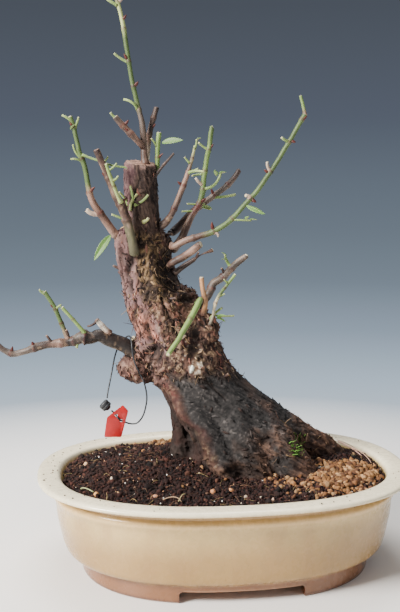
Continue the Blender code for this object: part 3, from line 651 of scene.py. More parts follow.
BURL_PALE = (0.28, 0.15, 0.115)
STUB_RIDGE = (0.085, 0.050, 0.036)
STUB_WORN = (0.22, 0.105, 0.075)
PURPLE_RIDGE = (0.15, 0.082, 0.080)
CHARCOAL_WORN = (0.15, 0.128, 0.118)
CHARCOAL_BROWN = (0.072, 0.040, 0.028)
ROOT_DARK = (0.050, 0.025, 0.018)
ROOT_RIDGE = (0.19, 0.10, 0.062)
ROOT_SHADE = (0.030, 0.0125, 0.0095)
PLATE_EDGE = (0.20, 0.10, 0.068)
CALLUS_EDGE = (0.30, 0.19, 0.12)
TRUNK_FOOT_DARK = (0.055, 0.03, 0.022)

SAWN_CENTRE = (-56.5, -4)      # across and depth
AXIS_HEIGHT = (56, 98, 141, 183, 222, 276)
AXIS_ACROSS = (16, 2, -26, -47, -57, -57)
FISSURES = [
    ([(-63, 229), (-64, 203), (-63, 189), (-57, 175)], 1.4, 3.2),
    ([(-52, 168), (-50, 152), (-53, 133)], 1.7, 3.2),
    ([(-69, 214), (-70, 196), (-68, 184)], 0.8, 1.4),
    ([(-60, 188), (-61, 172), (-56, 158)], 0.9, 1.6),
    ([(-47, 262), (-46, 240), (-44, 228)], 1.0, 1.4),
    ([(-58, 268), (-59, 246), (-60, 234)], 0.7, 0.9),
    ([(-44, 190), (-36, 172), (-33, 160)], 1.0, 1.6),
    ([(-20, 134), (-6, 124), (4, 118)], 0.8, 1.3),
]
LIP = [(-37, 124), (-28, 112), (-17, 98), (-8, 87), (-2, 66)]
CAVITIES = [((-24, 90), (7.5, 17)), ((31, 91), (5.5, 5)), ((13, 70), (13, 6)), ((-34, 213), (6.0, 20)),
            ((-2, 178), (4, 3)), ((-24, 184), (7, 3.0)), ((-22, 160), (5, 7)), ((-46, 150), (4, 9))]
CALLUS = ((-19, 140), (4.6, 3.4))


def axis_across(height):
    """Where the trunk's middle is at a height."""
    return np.interp(height, AXIS_HEIGHT, AXIS_ACROSS)


def within(spot, across, height):
    """Squared distance from a spot's centre, 1 at its edge; a spot is its centre and half sizes."""
    (u, z), (half_u, half_z) = spot
    return ((across - u) / half_u) ** 2 + ((height - z) / half_z) ** 2


def trunk_zones(p, normals):
    """Colour and outward push in millimetres for points on the trunk, in the tree's frame."""
    warp = np.stack([field(p, 13, k) for k in (11, 12, 13)], 1) * 3.5
    warp += np.stack([field(p, 4, k) for k in (14, 15, 16)], 1) * 1.2
    q = p + warp
    across, height = q[:, 0], q[:, 2]
    off = across - axis_across(height)
    front = ramp(-normals[:, 1], -0.2, 0.5)
    flat = q[:, [0, 2]]

    up = np.array([-0.27, 0, 0.96])
    down_right = np.array([0.84, 0.2, -0.51])
    along_up = stretched(p, up, 0.16)
    along_flare = stretched(p, down_right, 0.14)
    fine_up = 1 - 2 * np.abs(layered(along_up, 2.6, 3, 21))
    fine_flare = 1 - 2 * np.abs(layered(along_flare, 2.2, 3, 22))
    strands = field(along_flare, 0.9, 23) * 0.6 + field(along_flare, 5.5, 24) * 0.7
    knobs = 1 - 2 * np.abs(field(p, 7.5, 25))
    crumbs = 1 - 2 * np.abs(field(p, 3.2, 26))
    grit = field(p, 1.5, 27)
    speck = field(p, 1.05, 28)
    cloud = layered(p, 16, 3, 29)

    flare = (1 - ramp(height, 128, 140)) * ramp(across + 0.62 * (height - 100), -24, -14)
    stub = ramp(height, 226, 234)
    strip = band(height, 146, 229, 5) * (1 - ramp(off, -9, -5))
    ochre = band(height, 184, 231, 4) * band(off, -6, 16, 3) * front
    peeled = band(height, 160, 181, 3) * band(off, -24, -9, 2.5) * front
    burl = band(height, 126, 149, 3) * (1 - ramp(across, -42, -36))
    root = ramp(across, 10, 34) * (1 - ramp(height, 92, 122)) * ramp(cloud + 0.3, -0.1, 0.6)
    root = np.maximum(root, (1 - ramp(height, 70, 82)) * ramp(cloud + 0.5, -0.2, 0.5))
    left_root = (1 - ramp(height, 118, 132)) * (1 - ramp(across + 0.62 * (height - 100), -30, -18))
    middle = np.clip(1 - flare - stub - strip - ochre - left_root, 0, 1)

    # colour
    tint = blend(MID_BARK, DARK_BARK, ramp(cloud - 0.5 * crumbs, -0.45, 0.4) * 0.9)
    tint = blend(tint, TAN_BARK, ramp(grit + 0.5 * knobs, 0.25, 1.0) * 0.75)
    tint = blend(tint, RED_BARK, ramp(field(p, 5, 31), 0.25, 0.7) * 0.6)
    tint = blend(tint, WHITE_WOOD, ramp(speck + 0.4 * grit, 0.62, 0.95) * 0.35 * middle)
    lilac = blend(LILAC_BARK, MID_BARK, ramp(field(along_up, 3.4, 32), 0.0, 0.8) * 0.8)
    lilac = blend(lilac, LILAC_PALE, ramp(field(along_up, 2.2, 33), 0.15, 0.9) * 0.7)
    lilac = blend(lilac, DARK_BARK, ramp(-fine_up, 0.1, 0.7) * 0.85)
    tint = blend(tint, lilac, strip * 0.92)
    fibre = field(stretched(p, (0.4, 0, 1), 0.3), 1.6, 34) + 0.5 * field(p, 3.1, 35)
    fibrous = blend(OCHRE_DARK, OCHRE, ramp(fibre, -0.15, 0.55))
    fibrous = blend(fibrous, TAN_BARK, ramp(fibre + speck * 0.5, 0.6, 1.1) * 0.7)
    tint = blend(tint, fibrous, ochre)
    orange = blend(PEELED, MID_BARK, ramp(crumbs, 0.1, 0.9))
    tint = blend(tint, orange, peeled * ramp(cloud, -0.4, 0.2) * 0.8)
    tint = blend(tint, blend(BURL_DARK, BURL_PALE, ramp(grit + crumbs * 0.5, 0.2, 0.9)), burl * 0.75)
    bare = blend(DARK_BARK, STUB_RIDGE, ramp(fine_up, 0.3, 1.0))
    bare = blend(bare, STUB_WORN, ramp(field(along_up, 2.4, 36) + speck * 0.3, 0.45, 0.9) * 0.7)
    purple = blend(PURPLE_BARK, PURPLE_RIDGE, ramp(fine_up, 0.2, 1.0))
    bare = blend(bare, purple, 1 - ramp(off, -7, -2))
    tint = blend(tint, bare, stub)

    lines = field(stretched(p, down_right, 0.10), 0.8, 39)
    grey = np.array(CHARCOAL) * np.clip(1 + 0.45 * strands + 0.8 * lines + 0.5 * speck, 0.2, 3)[:, None]
    grey = blend(grey, CHARCOAL_WORN, ramp(speck + strands * 0.7, 0.55, 1.2) * 0.7)
    grey = blend(grey, CHARCOAL_BROWN, ramp(cloud, 0.1, 0.7) * 0.6)
    tint = blend(tint, grey, flare)
    rooty = blend(ROOT_DARK, ROOT_RIDGE, ramp(fine_flare + grit * 0.4, 0.3, 1.1))
    rooty = blend(rooty, NEAR_BLACK, ramp(-fine_flare + speck * 0.3, 0.3, 0.9) * 0.7)
    tint = blend(tint, rooty, root * 0.85)
    tint = blend(tint, blend(ROOT_SHADE, NEAR_BLACK, ramp(cloud + grit * 0.3, -0.1, 0.5)), left_root * 0.95)
    lip = np.exp(-(distance_to_route(flat, LIP) / 2.6) ** 2)
    lip = lip * ramp(-normals[:, 1], -0.5, 0.2) * ramp(height, 86, 108)
    lip_tint = blend(RED_BARK, MID_BARK, ramp(grit + crumbs * 0.4, 0.2, 0.9) * 0.6)
    lip_tint = blend(lip_tint, DARK_BARK, ramp(field(p, 6, 37), -0.2, 0.5) * 0.7)
    tint = blend(tint, lip_tint, lip * 0.85)
    plates = field(p, 11, 38)
    tint = blend(tint, NEAR_BLACK, ramp(-plates, 0.1, 0.6) * middle * 0.8)
    tint = blend(tint, PLATE_EDGE, ramp(plates + 0.3 * grit, 0.45, 0.95) * middle * 0.6)

    # shape
    push = (1.2 * knobs + 2.0 * plates) * middle + 0.6 * crumbs * (middle + 0.6 * burl)
    push += burl * 1.5 * knobs + 0.35 * grit * (1 - 0.6 * flare)
    push += strip * (0.5 * fine_up + 0.3 * field(along_up, 7, 41))
    push += ochre * (0.9 * fibre + 0.5 * crumbs)
    push += stub * 0.5 * fine_up
    push += flare * (0.26 * fine_flare + 0.7 * field(along_flare, 8, 42) + 0.16 * speck + 0.25 * lines)
    push += root * (1.3 * fine_flare + 0.9 * field(along_flare, 9, 43))
    push += left_root * 0.9 * fine_up + lip * 1.3

    # hollows and lumps of their own; the hollows are darkened as painted shade
    waist = band(p[:, 2], 192, 216, 5) * ramp(p[:, 0] - axis_across(p[:, 2]), 5, 13)
    push -= 6.0 * waist
    # painted shade in the pushed-in waist
    tint = blend(tint, DARK_BARK, waist * 0.7)
    for route, width, depth in FISSURES:
        gap = distance_to_route(flat + field(p, 5, 44)[:, None] * 0.8, route)
        line = np.exp(-(gap / width) ** 2) * front
        push -= depth * line
        # painted shade: each fissure darkened nearly black along its line
        tint = blend(tint, NEAR_BLACK, line * 0.92)
    for cavity in CAVITIES:
        hole = np.exp(-within(cavity, across, height) ** 1.6) * front
        push -= 3.2 * hole * (0.7 + 0.3 * knobs)
        # painted shade: each cavity darkened nearly black
        tint = blend(tint, NEAR_BLACK, hole * 0.9)
    pad = np.exp(-within(CALLUS, p[:, 0], p[:, 2]) ** 2) * front
    push = push * (1 - pad) + pad * (0.9 + 0.4 * grit)
    healed = blend(CALLUS_EDGE, WHITE_WOOD, ramp(speck + grit, -0.3, 0.5))
    tint = blend(tint, healed, pad * ramp(grit + 1.0, 0.1, 0.5) * 0.9)
    # the trunk darker toward the soil line
    tint = blend(tint, TRUNK_FOOT_DARK, (1 - ramp(p[:, 2], 64, 71)) * 0.7)
    return tint, push


def sawn_top(p, normals, tint, push):
    """Pale rim, rings and checks on the flat cut at the trunk's top."""
    facing = ramp(normals @ unit((0.10, -0.16, 1.0)), 0.86, 0.96) * ramp(p[:, 2], 262, 268)
    offset = p[:, [0, 1]] - SAWN_CENTRE
    radius = np.linalg.norm(offset, axis=1)
    angle = np.arctan2(offset[:, 1], offset[:, 0])
    rings = np.sin(radius * 3.1 + field(p, 6, 51) * 2)
    wood = blend(SAWN, SAWN_RING, ramp(rings, -0.2, 1) * 0.6)
    wood = blend(wood, SAWN_STAIN, ramp(field(p, 3.5, 52), 0.0, 0.7) * 0.7)
    check = np.abs(np.sin(angle * 3.5 + 0.6)) < 0.05 + 0.012 * radius
    wood = blend(wood, NEAR_BLACK, check & (radius > 2))
    wood = blend(wood, SAWN_RIM, ramp(radius + field(p, 3, 54), 9.0, 10.5) * 0.8)
    edge = ramp(p[:, 2], 271, 275) * (1 - facing) * ramp(p[:, 2], 262, 268)
    tint = blend(tint, wood, facing)
    tint = blend(tint, SAWN_EDGE, edge * ramp(field(p, 2.5, 53), -0.2, 0.6) * 0.8)
    push = push * (1 - facing) + facing * (0.12 * rings - 0.5 * check)
    return tint, push


def remeshed(name, mesh, voxel):
    """A fine even skin over a coarse solid."""
    piece = temporary(name, mesh.copy())
    modifier = piece.modifiers.new("remesh", "REMESH")
    modifier.mode = "VOXEL"
    modifier.voxel_size = voxel * MM
    smooth = piece.modifiers.new("smooth", "SMOOTH")
    smooth.factor = 0.5
    smooth.iterations = 3
    return evaluated_mesh(piece)


def make_trunk(material):
    """The trunk's bark, pushed in and out over its solid."""
    mesh = remeshed("trunk_skin", NODES["trunk"].data, 0.8)
    co = vertices_of(mesh)
    normals = normals_of(mesh)
    p = to_tree(co)
    way = to_tree(normals + np.array(POT_CENTRE)) * MM
    tint, push = trunk_zones(p, way)
    tint, push = sawn_top(p, way, tint, push)
    set_vertices(mesh, co + normals * push[:, None] * MM)
    set_tint(mesh, tint)
    return add_piece("bark_trunk", mesh, material, ["trunk"])


# Loose bark on the trunk

FLAKES = 2600
FIBRES = 380
FIBRE_RADII = (0.24, 0.22, 0.2, 0.17, 0.13, 0.06)
FIBRE_COLOURS = (OCHRE, TAN_BARK, (0.13, 0.08, 0.05), MID_BARK)


def surface_samples(mesh, count, rng, weight):
    """Random places on a mesh's faces: place, normal and face index."""
    mesh.calc_loop_triangles()
    corners = np.empty(len(mesh.loop_triangles) * 3, np.int32)
    mesh.loop_triangles.foreach_get("vertices", corners)
    corners = corners.reshape(-1, 3)
    co = vertices_of(mesh)
    normals = normals_of(mesh)
    a, b, c = co[corners[:, 0]], co[corners[:, 1]], co[corners[:, 2]]
    area = np.linalg.norm(np.cross(b - a, c - a), axis=1) * weight[corners].mean(1)
    chosen = rng.choice(len(corners), count, p=area / area.sum())
    first, second = rng.random(count), rng.random(count)
    flip = first + second > 1
    first[flip], second[flip] = 1 - first[flip], 1 - second[flip]
    place = a[chosen] + first[:, None] * (b - a)[chosen] + second[:, None] * (c - a)[chosen]
    return place, unit(normals[corners[chosen]].mean(1)), corners[chosen, 0]


def bases(along, out):
    """Rotation matrices whose columns are along, sideways and out."""
    along = unit(along - out * (along * out).sum(1, keepdims=True))
    return np.stack([along, np.cross(out, along), out], -1)


def add_chips(heap, place, basis, length, width, curl, thickness, tint, rng):
    """Thin curled flakes, wide in the middle and ragged at the ends."""
    count = len(place)
    local = np.zeros((count, 3, 2, 2, 3))          # station, side, top or bottom
    for station, share in enumerate((-0.5, 0.0, 0.5)):
        half = width * (0.5, 1.0, 0.4)[station] * rng.uniform(0.6, 1.2, count) / 2
        lift = curl * (0.15, 0.35, 1.0)[station]
        skew = width * rng.uniform(-0.3, 0.3, count)
        for side, sign in enumerate((-1, 1)):
            for level, drop in enumerate((0, 1)):
                local[:, station, side, level] = np.stack(
                    [length * share, skew + sign * half, lift - drop * thickness], 1)
    local = local.reshape(count, 12, 3)
    world = place[:, None] + np.einsum("nij,nkj->nki", basis, local)
    faces = np.array([(0, 4, 6, 2), (4, 8, 10, 6), (1, 3, 7, 5), (5, 7, 11, 9), (0, 1, 5, 4),
                      (4, 5, 9, 8), (2, 6, 7, 3), (6, 10, 11, 7), (0, 2, 3, 1), (8, 9, 11, 10)])
    faces = (faces[None] + np.arange(count)[:, None, None] * 12).reshape(-1, 4)
    heap.add(world.reshape(-1, 3), [faces], np.repeat(tint, 12, axis=0))


def make_loose_bark(trunk, material):
    """Curled flakes and torn fibres, thickest round the old cuts and burls."""
    rng = np.random.default_rng(5)
    mesh = trunk.data
    p = to_tree(vertices_of(mesh))
    height = p[:, 2]
    off = p[:, 0] - axis_across(height)
    busy = 0.15 + 1.0 * band(height, 128, 190, 6) + 0.8 * band(height, 185, 232, 5) * ramp(off, -9, -4)
    busy += 0.25 * band(height, 150, 262, 6) + 0.5 * band(p[:, 0], 12, 80, 8) * band(height, 70, 118, 6)
    busy *= (height > 72) * (height < 274)
    for cavity in CAVITIES:
        busy *= 1 - 0.9 * np.exp(-within(cavity, p[:, 0], height))
    flat = np.empty(len(mesh.vertices) * 4, np.float32)
    mesh.attributes["tint"].data.foreach_get("color", flat)
    colours = flat.reshape(-1, 4)[:, :3].astype(float)
    count = FLAKES
    place, out, corner = surface_samples(mesh, count, rng, busy)
    way = np.where((p[corner, 2] < 128)[:, None], unit(FLARE_WAY), unit(TRUNK_WAY))
    way = unit(way + rng.normal(0, 0.55, (count, 3)))
    basis = bases(way * rng.choice([-1, 1], (count, 1)), out)
    grown = rng.random(count) ** 2
    length = (1.6 + 4.6 * grown) * MM
    width = (0.6 + 2.4 * grown * rng.uniform(0.4, 1, count)) * MM
    curl = rng.uniform(0.2, 1.3, count) * MM
    shade = colours[corner] * rng.uniform(0.45, 1.7, (count, 1))
    pale = (rng.random(count) < 0.07) & (p[corner, 2] > 128)
    shade[pale] = np.array(TAN_BARK) * rng.uniform(0.7, 1.4, (pale.sum(), 1))
    rust = (rng.random(count) < 0.08) & (p[corner, 2] > 132)
    shade[rust] = np.array(PEELED) * rng.uniform(0.4, 0.9, (rust.sum(), 1))
    dark = rng.random(count) < 0.22
    shade[dark] = np.array(DARK_BARK) * rng.uniform(0.5, 1.5, (dark.sum(), 1))
    heap = Heap()
    add_chips(heap, place + out * 0.15 * MM, basis, length, width, curl, 0.3 * MM, shade, rng)
    heap.piece("bark_flakes", material, "bark", smooth=False)

    fibres = Heap()
    frayed = band(height, 184, 233, 4) * band(off, -8, 14, 3) + 0.5 * band(height, 132, 186, 5)
    frayed += 0.25 * band(p[:, 0], 30, 86, 6) * band(height, 66, 100, 6)
    place, out, _ = surface_samples(mesh, FIBRES, rng, frayed * (p[:, 1] < 30) + 1e-6)
    for start, normal in zip(place, out):
        way = unit(np.cross(normal, rng.normal(0, 1, 3)) + normal * rng.uniform(0.05, 0.5))
        reach = rng.uniform(3, 9) * MM
        sag = rng.normal(0, 0.25, 3) * reach
        t = np.linspace(0, 1, len(FIBRE_RADII))[:, None]
        route = start + way * reach * t + sag * t * t + normal * 0.3 * MM
        colour = FIBRE_COLOURS[rng.integers(4)]
        shape, faces = sweep(route, np.array(FIBRE_RADII) * MM, 5)
        fibres.add(shape, faces, np.array(colour) * rng.uniform(0.7, 1.3))
    fibres.piece("bark_fibres", material, "bark")


# Shoots and limbs: host, colours from base to tip as (share of the way, colour), and where nodes are

GREEN = (0.085, 0.128, 0.038)
LIGHT_GREEN = (0.19, 0.28, 0.075)
YELLOW_GREEN = (0.36, 0.40, 0.15)
SHOOT_BROWN = (0.100, 0.052, 0.036)
SHOOT_GREY = (0.105, 0.078, 0.062)
SHOOT_DARK = (0.038, 0.021, 0.017)
SHOOT_PINK = (0.25, 0.145, 0.105)
NODE_RED = (0.075, 0.013, 0.010)
LIMB_DARK = (0.013, 0.0075, 0.006)
OLD_GREEN = (0.070, 0.062, 0.034)
CUT_PALE = (0.66, 0.56, 0.36)
CUT_ORANGE = (0.52, 0.25, 0.10)

STEMS = {
    "limb_left": ("trunk", [(0, LIMB_DARK), (0.36, LIMB_DARK), (0.42, SHOOT_GREY), (0.47, LIMB_DARK),
                            (0.53, SHOOT_PINK), (0.62, SHOOT_DARK), (0.8, SHOOT_GREY), (1, SHOOT_DARK)],
                  (0.36, 0.44, 0.52, 0.70, 0.86), "dark"),
    "leader_shoot": ("trunk", [(0, SHOOT_BROWN), (0.27, SHOOT_GREY), (0.36, GREEN), (0.7, GREEN),
                               (0.78, YELLOW_GREEN), (0.88, YELLOW_GREEN), (0.93, GREEN), (1, GREEN)],
                     (0.30, 0.43, 0.57, 0.75, 0.90), "pale"),
    "top_stub_left": ("leader_shoot",
                      [(0, SHOOT_BROWN), (0.4, SHOOT_PINK), (0.7, SHOOT_BROWN), (1, SHOOT_GREY)],
                      (0.4, 0.7), "pale"),
    "top_stub_right": ("trunk", [(0, WHITE_WOOD), (0.35, SHOOT_PINK), (0.6, SHOOT_DARK), (1, SHOOT_DARK)],
                       (0.5, 0.8), "dark"),
    "top_shoot_short": ("trunk", [(0, GREEN), (0.6, LIGHT_GREEN), (1, LIGHT_GREEN)], (0.55,), "pale"),
    "top_twig": ("trunk", [(0, SHOOT_DARK), (1, SHOOT_DARK)], (0.5,), "dark"),
    "shoot_left": ("trunk",
                   [(0, SHOOT_PINK), (0.2, SHOOT_BROWN), (0.38, SHOOT_PINK), (0.48, GREEN), (1, GREEN)],
                   (0.22, 0.4, 0.66, 0.92), "pale"),
    "shoulder_stub_left": ("trunk", [(0, OLD_GREEN), (0.25, (0.11, 0.10, 0.05)), (0.34, SHOOT_BROWN),
                                     (0.6, SHOOT_BROWN), (1, SHOOT_DARK)], (0.34, 0.5, 0.75), "dark"),
    "crown_branch": ("trunk", [(0, SHOOT_DARK), (0.3, SHOOT_BROWN), (0.75, SHOOT_PINK), (1, YELLOW_GREEN)],
                     (0.28, 0.55, 0.72, 0.86), "pale"),
    "crown_shoot": ("trunk", [(0, SHOOT_DARK), (0.28, SHOOT_BROWN), (0.4, NODE_RED), (0.45, GREEN),
                              (0.75, LIGHT_GREEN), (1, GREEN)], (0.4, 0.52, 0.66, 0.82), "pale"),
    "crown_fork": ("trunk", [(0, SHOOT_DARK), (0.45, SHOOT_BROWN), (0.6, SHOOT_GREY), (1, SHOOT_DARK)],
                   (0.45, 0.62, 0.8), "dark"),
    "shoot_right": ("trunk", [(0, SHOOT_PINK), (0.2, SHOOT_BROWN), (0.27, GREEN), (0.5, GREEN),
                              (1, GREEN)], (0.16, 0.27, 0.38, 0.52, 0.68, 0.85, 0.97), "pale"),
    "right_stub_upper": ("trunk", [(0, SHOOT_DARK), (0.5, SHOOT_BROWN), (0.8, SHOOT_PINK), (1, SHOOT_BROWN)],
                         (), "pale"),
    "right_stub_lower": ("trunk", [(0, SHOOT_DARK), (1, SHOOT_BROWN)], (0.5, 0.8), "pale"),
    "right_branch_low": ("trunk", [(0, SHOOT_DARK), (0.4, SHOOT_GREY), (1, SHOOT_GREY)],
                         (0.3, 0.55, 0.72), "pale"),
    "right_stub_orange": ("trunk", [(0, MID_BARK), (0.3, CUT_ORANGE), (1, CUT_ORANGE)], (0.5,), "pale"),
    "right_twig_low": ("trunk", [(0, SHOOT_GREY), (0.4, CUT_PALE), (0.6, GREEN), (1, LIGHT_GREEN)],
                       (0.4, 0.7), "pale"),
    "shoot_front": ("trunk", [(0, GREEN), (0.3, LIGHT_GREEN), (1, LIGHT_GREEN)], (0.5,), "pale"),
    "limb_left_shoot": ("limb_left", [(0, SHOOT_PINK), (0.3, GREEN), (1, GREEN)], (0.3, 0.6), "pale"),
    "limb_left_twig": ("limb_left", [(0, LIGHT_GREEN), (1, LIGHT_GREEN)], (0.5,), "pale"),
    "limb_left_stub": ("limb_left", [(0, SHOOT_PINK), (0.5, WHITE_WOOD), (0.85, WHITE_WOOD), (1, SHOOT_DARK)],
                       (0.5,), "dark"),
    "shoot_left_twig": ("shoot_left", [(0, LIGHT_GREEN), (1, LIGHT_GREEN)], (), "pale"),
    "shoulder_twig_left": ("shoulder_stub_left", [(0, YELLOW_GREEN), (1, LIGHT_GREEN)], (0.4,), "pale"),
    "shoot_right_tip": ("shoot_right", [(0, SHOOT_PINK), (0.4, LIGHT_GREEN), (1, LIGHT_GREEN)], (), "pale"),
    "crown_branch_twig": ("crown_branch", [(0, LIGHT_GREEN), (1, YELLOW_GREEN)], (), "pale"),
}
ROUGH_STEMS = {"limb_left", "right_stub_upper", "right_stub_orange", "crown_branch", "right_branch_low",
               "shoulder_stub_left", "top_stub_left"}
SLIMMER = {"limb_left": 1.14, "leader_shoot": 0.92, "shoot_right": 0.92, "crown_shoot": 0.95,
           "shoot_left": 0.92, "shoot_front": 1.08, "right_stub_upper": 0.8, "right_stub_lower": 0.9,
           "limb_left_stub": 0.85, "crown_branch": 0.9, "right_stub_orange": 0.85,
           "right_twig_low": 0.9}
TIP_COLOURS = {"pale": CUT_PALE, "dark": (0.16, 0.085, 0.055)}
RING_STEP = 0.7                # between a stem's rings
STEM_FULLNESS = 0.90
STEM_SIDES = 14


class Line:
    """A stem's centre line and radius, read from its solid, from its host out to its tip."""

    def __init__(self, name, host):
        co = vertices_of(NODES[name].data)
        host_tree = solid_tree(host)
        gaps = np.array([host_tree.find_nearest(Vector(v))[3] for v in co])
        base = co[gaps < gaps.min() + 0.6 * MM].mean(0)
        reach = np.linalg.norm(co - base, axis=1)
        steps = np.linspace(0, reach.max(), max(4, int(reach.max() / (3 * MM))))
        weight = np.exp(-((reach[None] - steps[:, None]) / (2.6 * MM)) ** 2)
        weight /= weight.sum(1, keepdims=True)
        centres = weight @ co
        ahead = unit(np.gradient(centres, axis=0))
        spread = co[None] - centres[:, None]
        spread -= (spread * ahead[:, None]).sum(-1, keepdims=True) * ahead[:, None]
        radii = (weight * np.linalg.norm(spread, axis=-1)).sum(1) * STEM_FULLNESS
        run = np.concatenate([[0], np.cumsum(np.linalg.norm(np.diff(centres, axis=0), axis=1))])
        fine = np.linspace(0, run[-1], max(6, int(run[-1] / (RING_STEP * MM))))
        rows = np.stack([np.interp(fine, run, column) for column in (*centres.T, radii)], 1)
        half = min(5, len(rows) // 4)
        padded = np.concatenate([np.repeat(rows[:1], half, 0), rows, np.repeat(rows[-1:], half, 0)])
        kernel = np.ones(2 * half + 1) / (2 * half + 1)
        soft = np.stack([np.convolve(column, kernel, "valid") for column in padded.T], 1)
        ends = ramp(np.minimum(np.arange(len(rows)), np.arange(len(rows))[::-1]), 0, half)
        rows = blend(rows, soft, ends)
        self.route, self.radii = rows[:, :3], rows[:, 3]
        self.share = fine / fine[-1]
        self.length = run[-1]
        self.ahead = unit(np.gradient(self.route, axis=0))

    def at(self, share):
        index = int(round(share * (len(self.route) - 1)))
        return self.route[index], self.ahead[index], self.radii[index]


def make_stem(name, material, seed):
    """A limb or shoot with its nodes, its bark and its cut end."""
    host, stops, joints, tip = STEMS[name]
    line = Line(name, host)
    line.radii *= SLIMMER.get(name, 1.0)
    rough = name in ROUGH_STEMS
    route, radii, share = line.route.copy(), line.radii.copy(), line.share
    run = share * line.length / MM
    wander = np.stack([field(np.stack([run, run * 0 + seed, run * 0], 1), 9, k) for k in (61, 62, 63)], 1)
    route += wander * min(0.25 * MM, line.length * 0.02) * ramp(run, 0, 6)[:, None]
    tint = np.stack([np.interp(share, [s for s, _ in stops], [c[k] for _, c in stops]) for k in range(3)], 1)
    for joint in joints:
        gap = (share - joint) * line.length / MM
        width = 0.9 + 0.25 * radii.mean() / MM
        radii *= 1 + 0.20 * np.exp(-(gap / width) ** 2)
        tint = blend(tint, NODE_RED if seed % 2 else SHOOT_BROWN, 0.75 * np.exp(-((gap - 0.6) / 0.9) ** 2))
    radii *= 1 + 0.25 * np.exp(-run / 2.0)
    # run on into the host, and end in a slightly domed cut
    lead = line.route[0] - line.ahead[0] * radii[0] * 0.9
    route = np.concatenate([[lead], route])
    radii = np.concatenate([radii[:1] * 1.1, radii])
    tint = np.concatenate([tint[:1], tint])
    end, ahead, radius = route[-1], line.ahead[-1], radii[-1]
    face = [(0.12, 0.93), (0.22, 0.80), (0.26, 0.5), (0.22, 0.22)]
    route = np.concatenate([route, [end + ahead * lift * radius for lift, _ in face]])
    radii = np.concatenate([radii, [radius * size for _, size in face]])
    cut_colour = np.array(TIP_COLOURS[tip])
    tint = np.concatenate([tint, [cut_colour * 0.8, cut_colour, cut_colour * 1.05, cut_colour * 0.45]])
    vertices, faces = sweep(route, radii, STEM_SIDES)
    tint = ring_values(tint, STEM_SIDES)
    centres = ring_values(route, STEM_SIDES)
    out = unit(vertices - centres)
    p = to_tree(vertices)
    along = stretched(p, to_tree(line.route[-1]) - to_tree(line.route[0]), 0.25)
    lumps = field(along, 2.6, seed) * 0.5 + field(along, 1.1, seed + 1) * 0.35
    depth = (0.5 if rough else 0.06) * np.clip(ring_values(radii, STEM_SIDES) / (2 * MM), 0.3, 1.6)
    vertices = vertices + out * (lumps * depth)[:, None] * MM
    mottle = layered(along, 3.0, 3, seed + 2)
    woody = ramp(tint[:, 0] - tint[:, 1], -0.01, 0.03)
    tint = tint * (1 + (0.35 + 0.6 * woody) * mottle)[:, None]
    streak = field(stretched(p, to_tree(line.route[-1]) - to_tree(line.route[0]), 0.12), 1.3, seed + 5)
    tint = blend(tint, (0.30, 0.20, 0.145), ramp(streak, 0.25, 0.8) * woody * 0.55)
    tint = blend(tint, SHOOT_DARK, ramp(-streak, 0.25, 0.8) * woody * 0.6)
    if rough:
        tint = blend(tint, TAN_BARK, ramp(field(p, 1.8, seed + 3), 0.35, 0.9) * 0.5)
        tint = blend(tint, NEAR_BLACK, ramp(field(along, 2.4, seed + 4), 0.3, 0.8) * 0.6)
    heap = Heap()
    heap.add(vertices, faces, tint)
    add_piece("grown_" + name, heap.mesh(name), material, [name])
    return line


# Small growth on the shoots: host, share of the way along it, reach (across, depth, height), radius
# at its foot and at its end, and kind

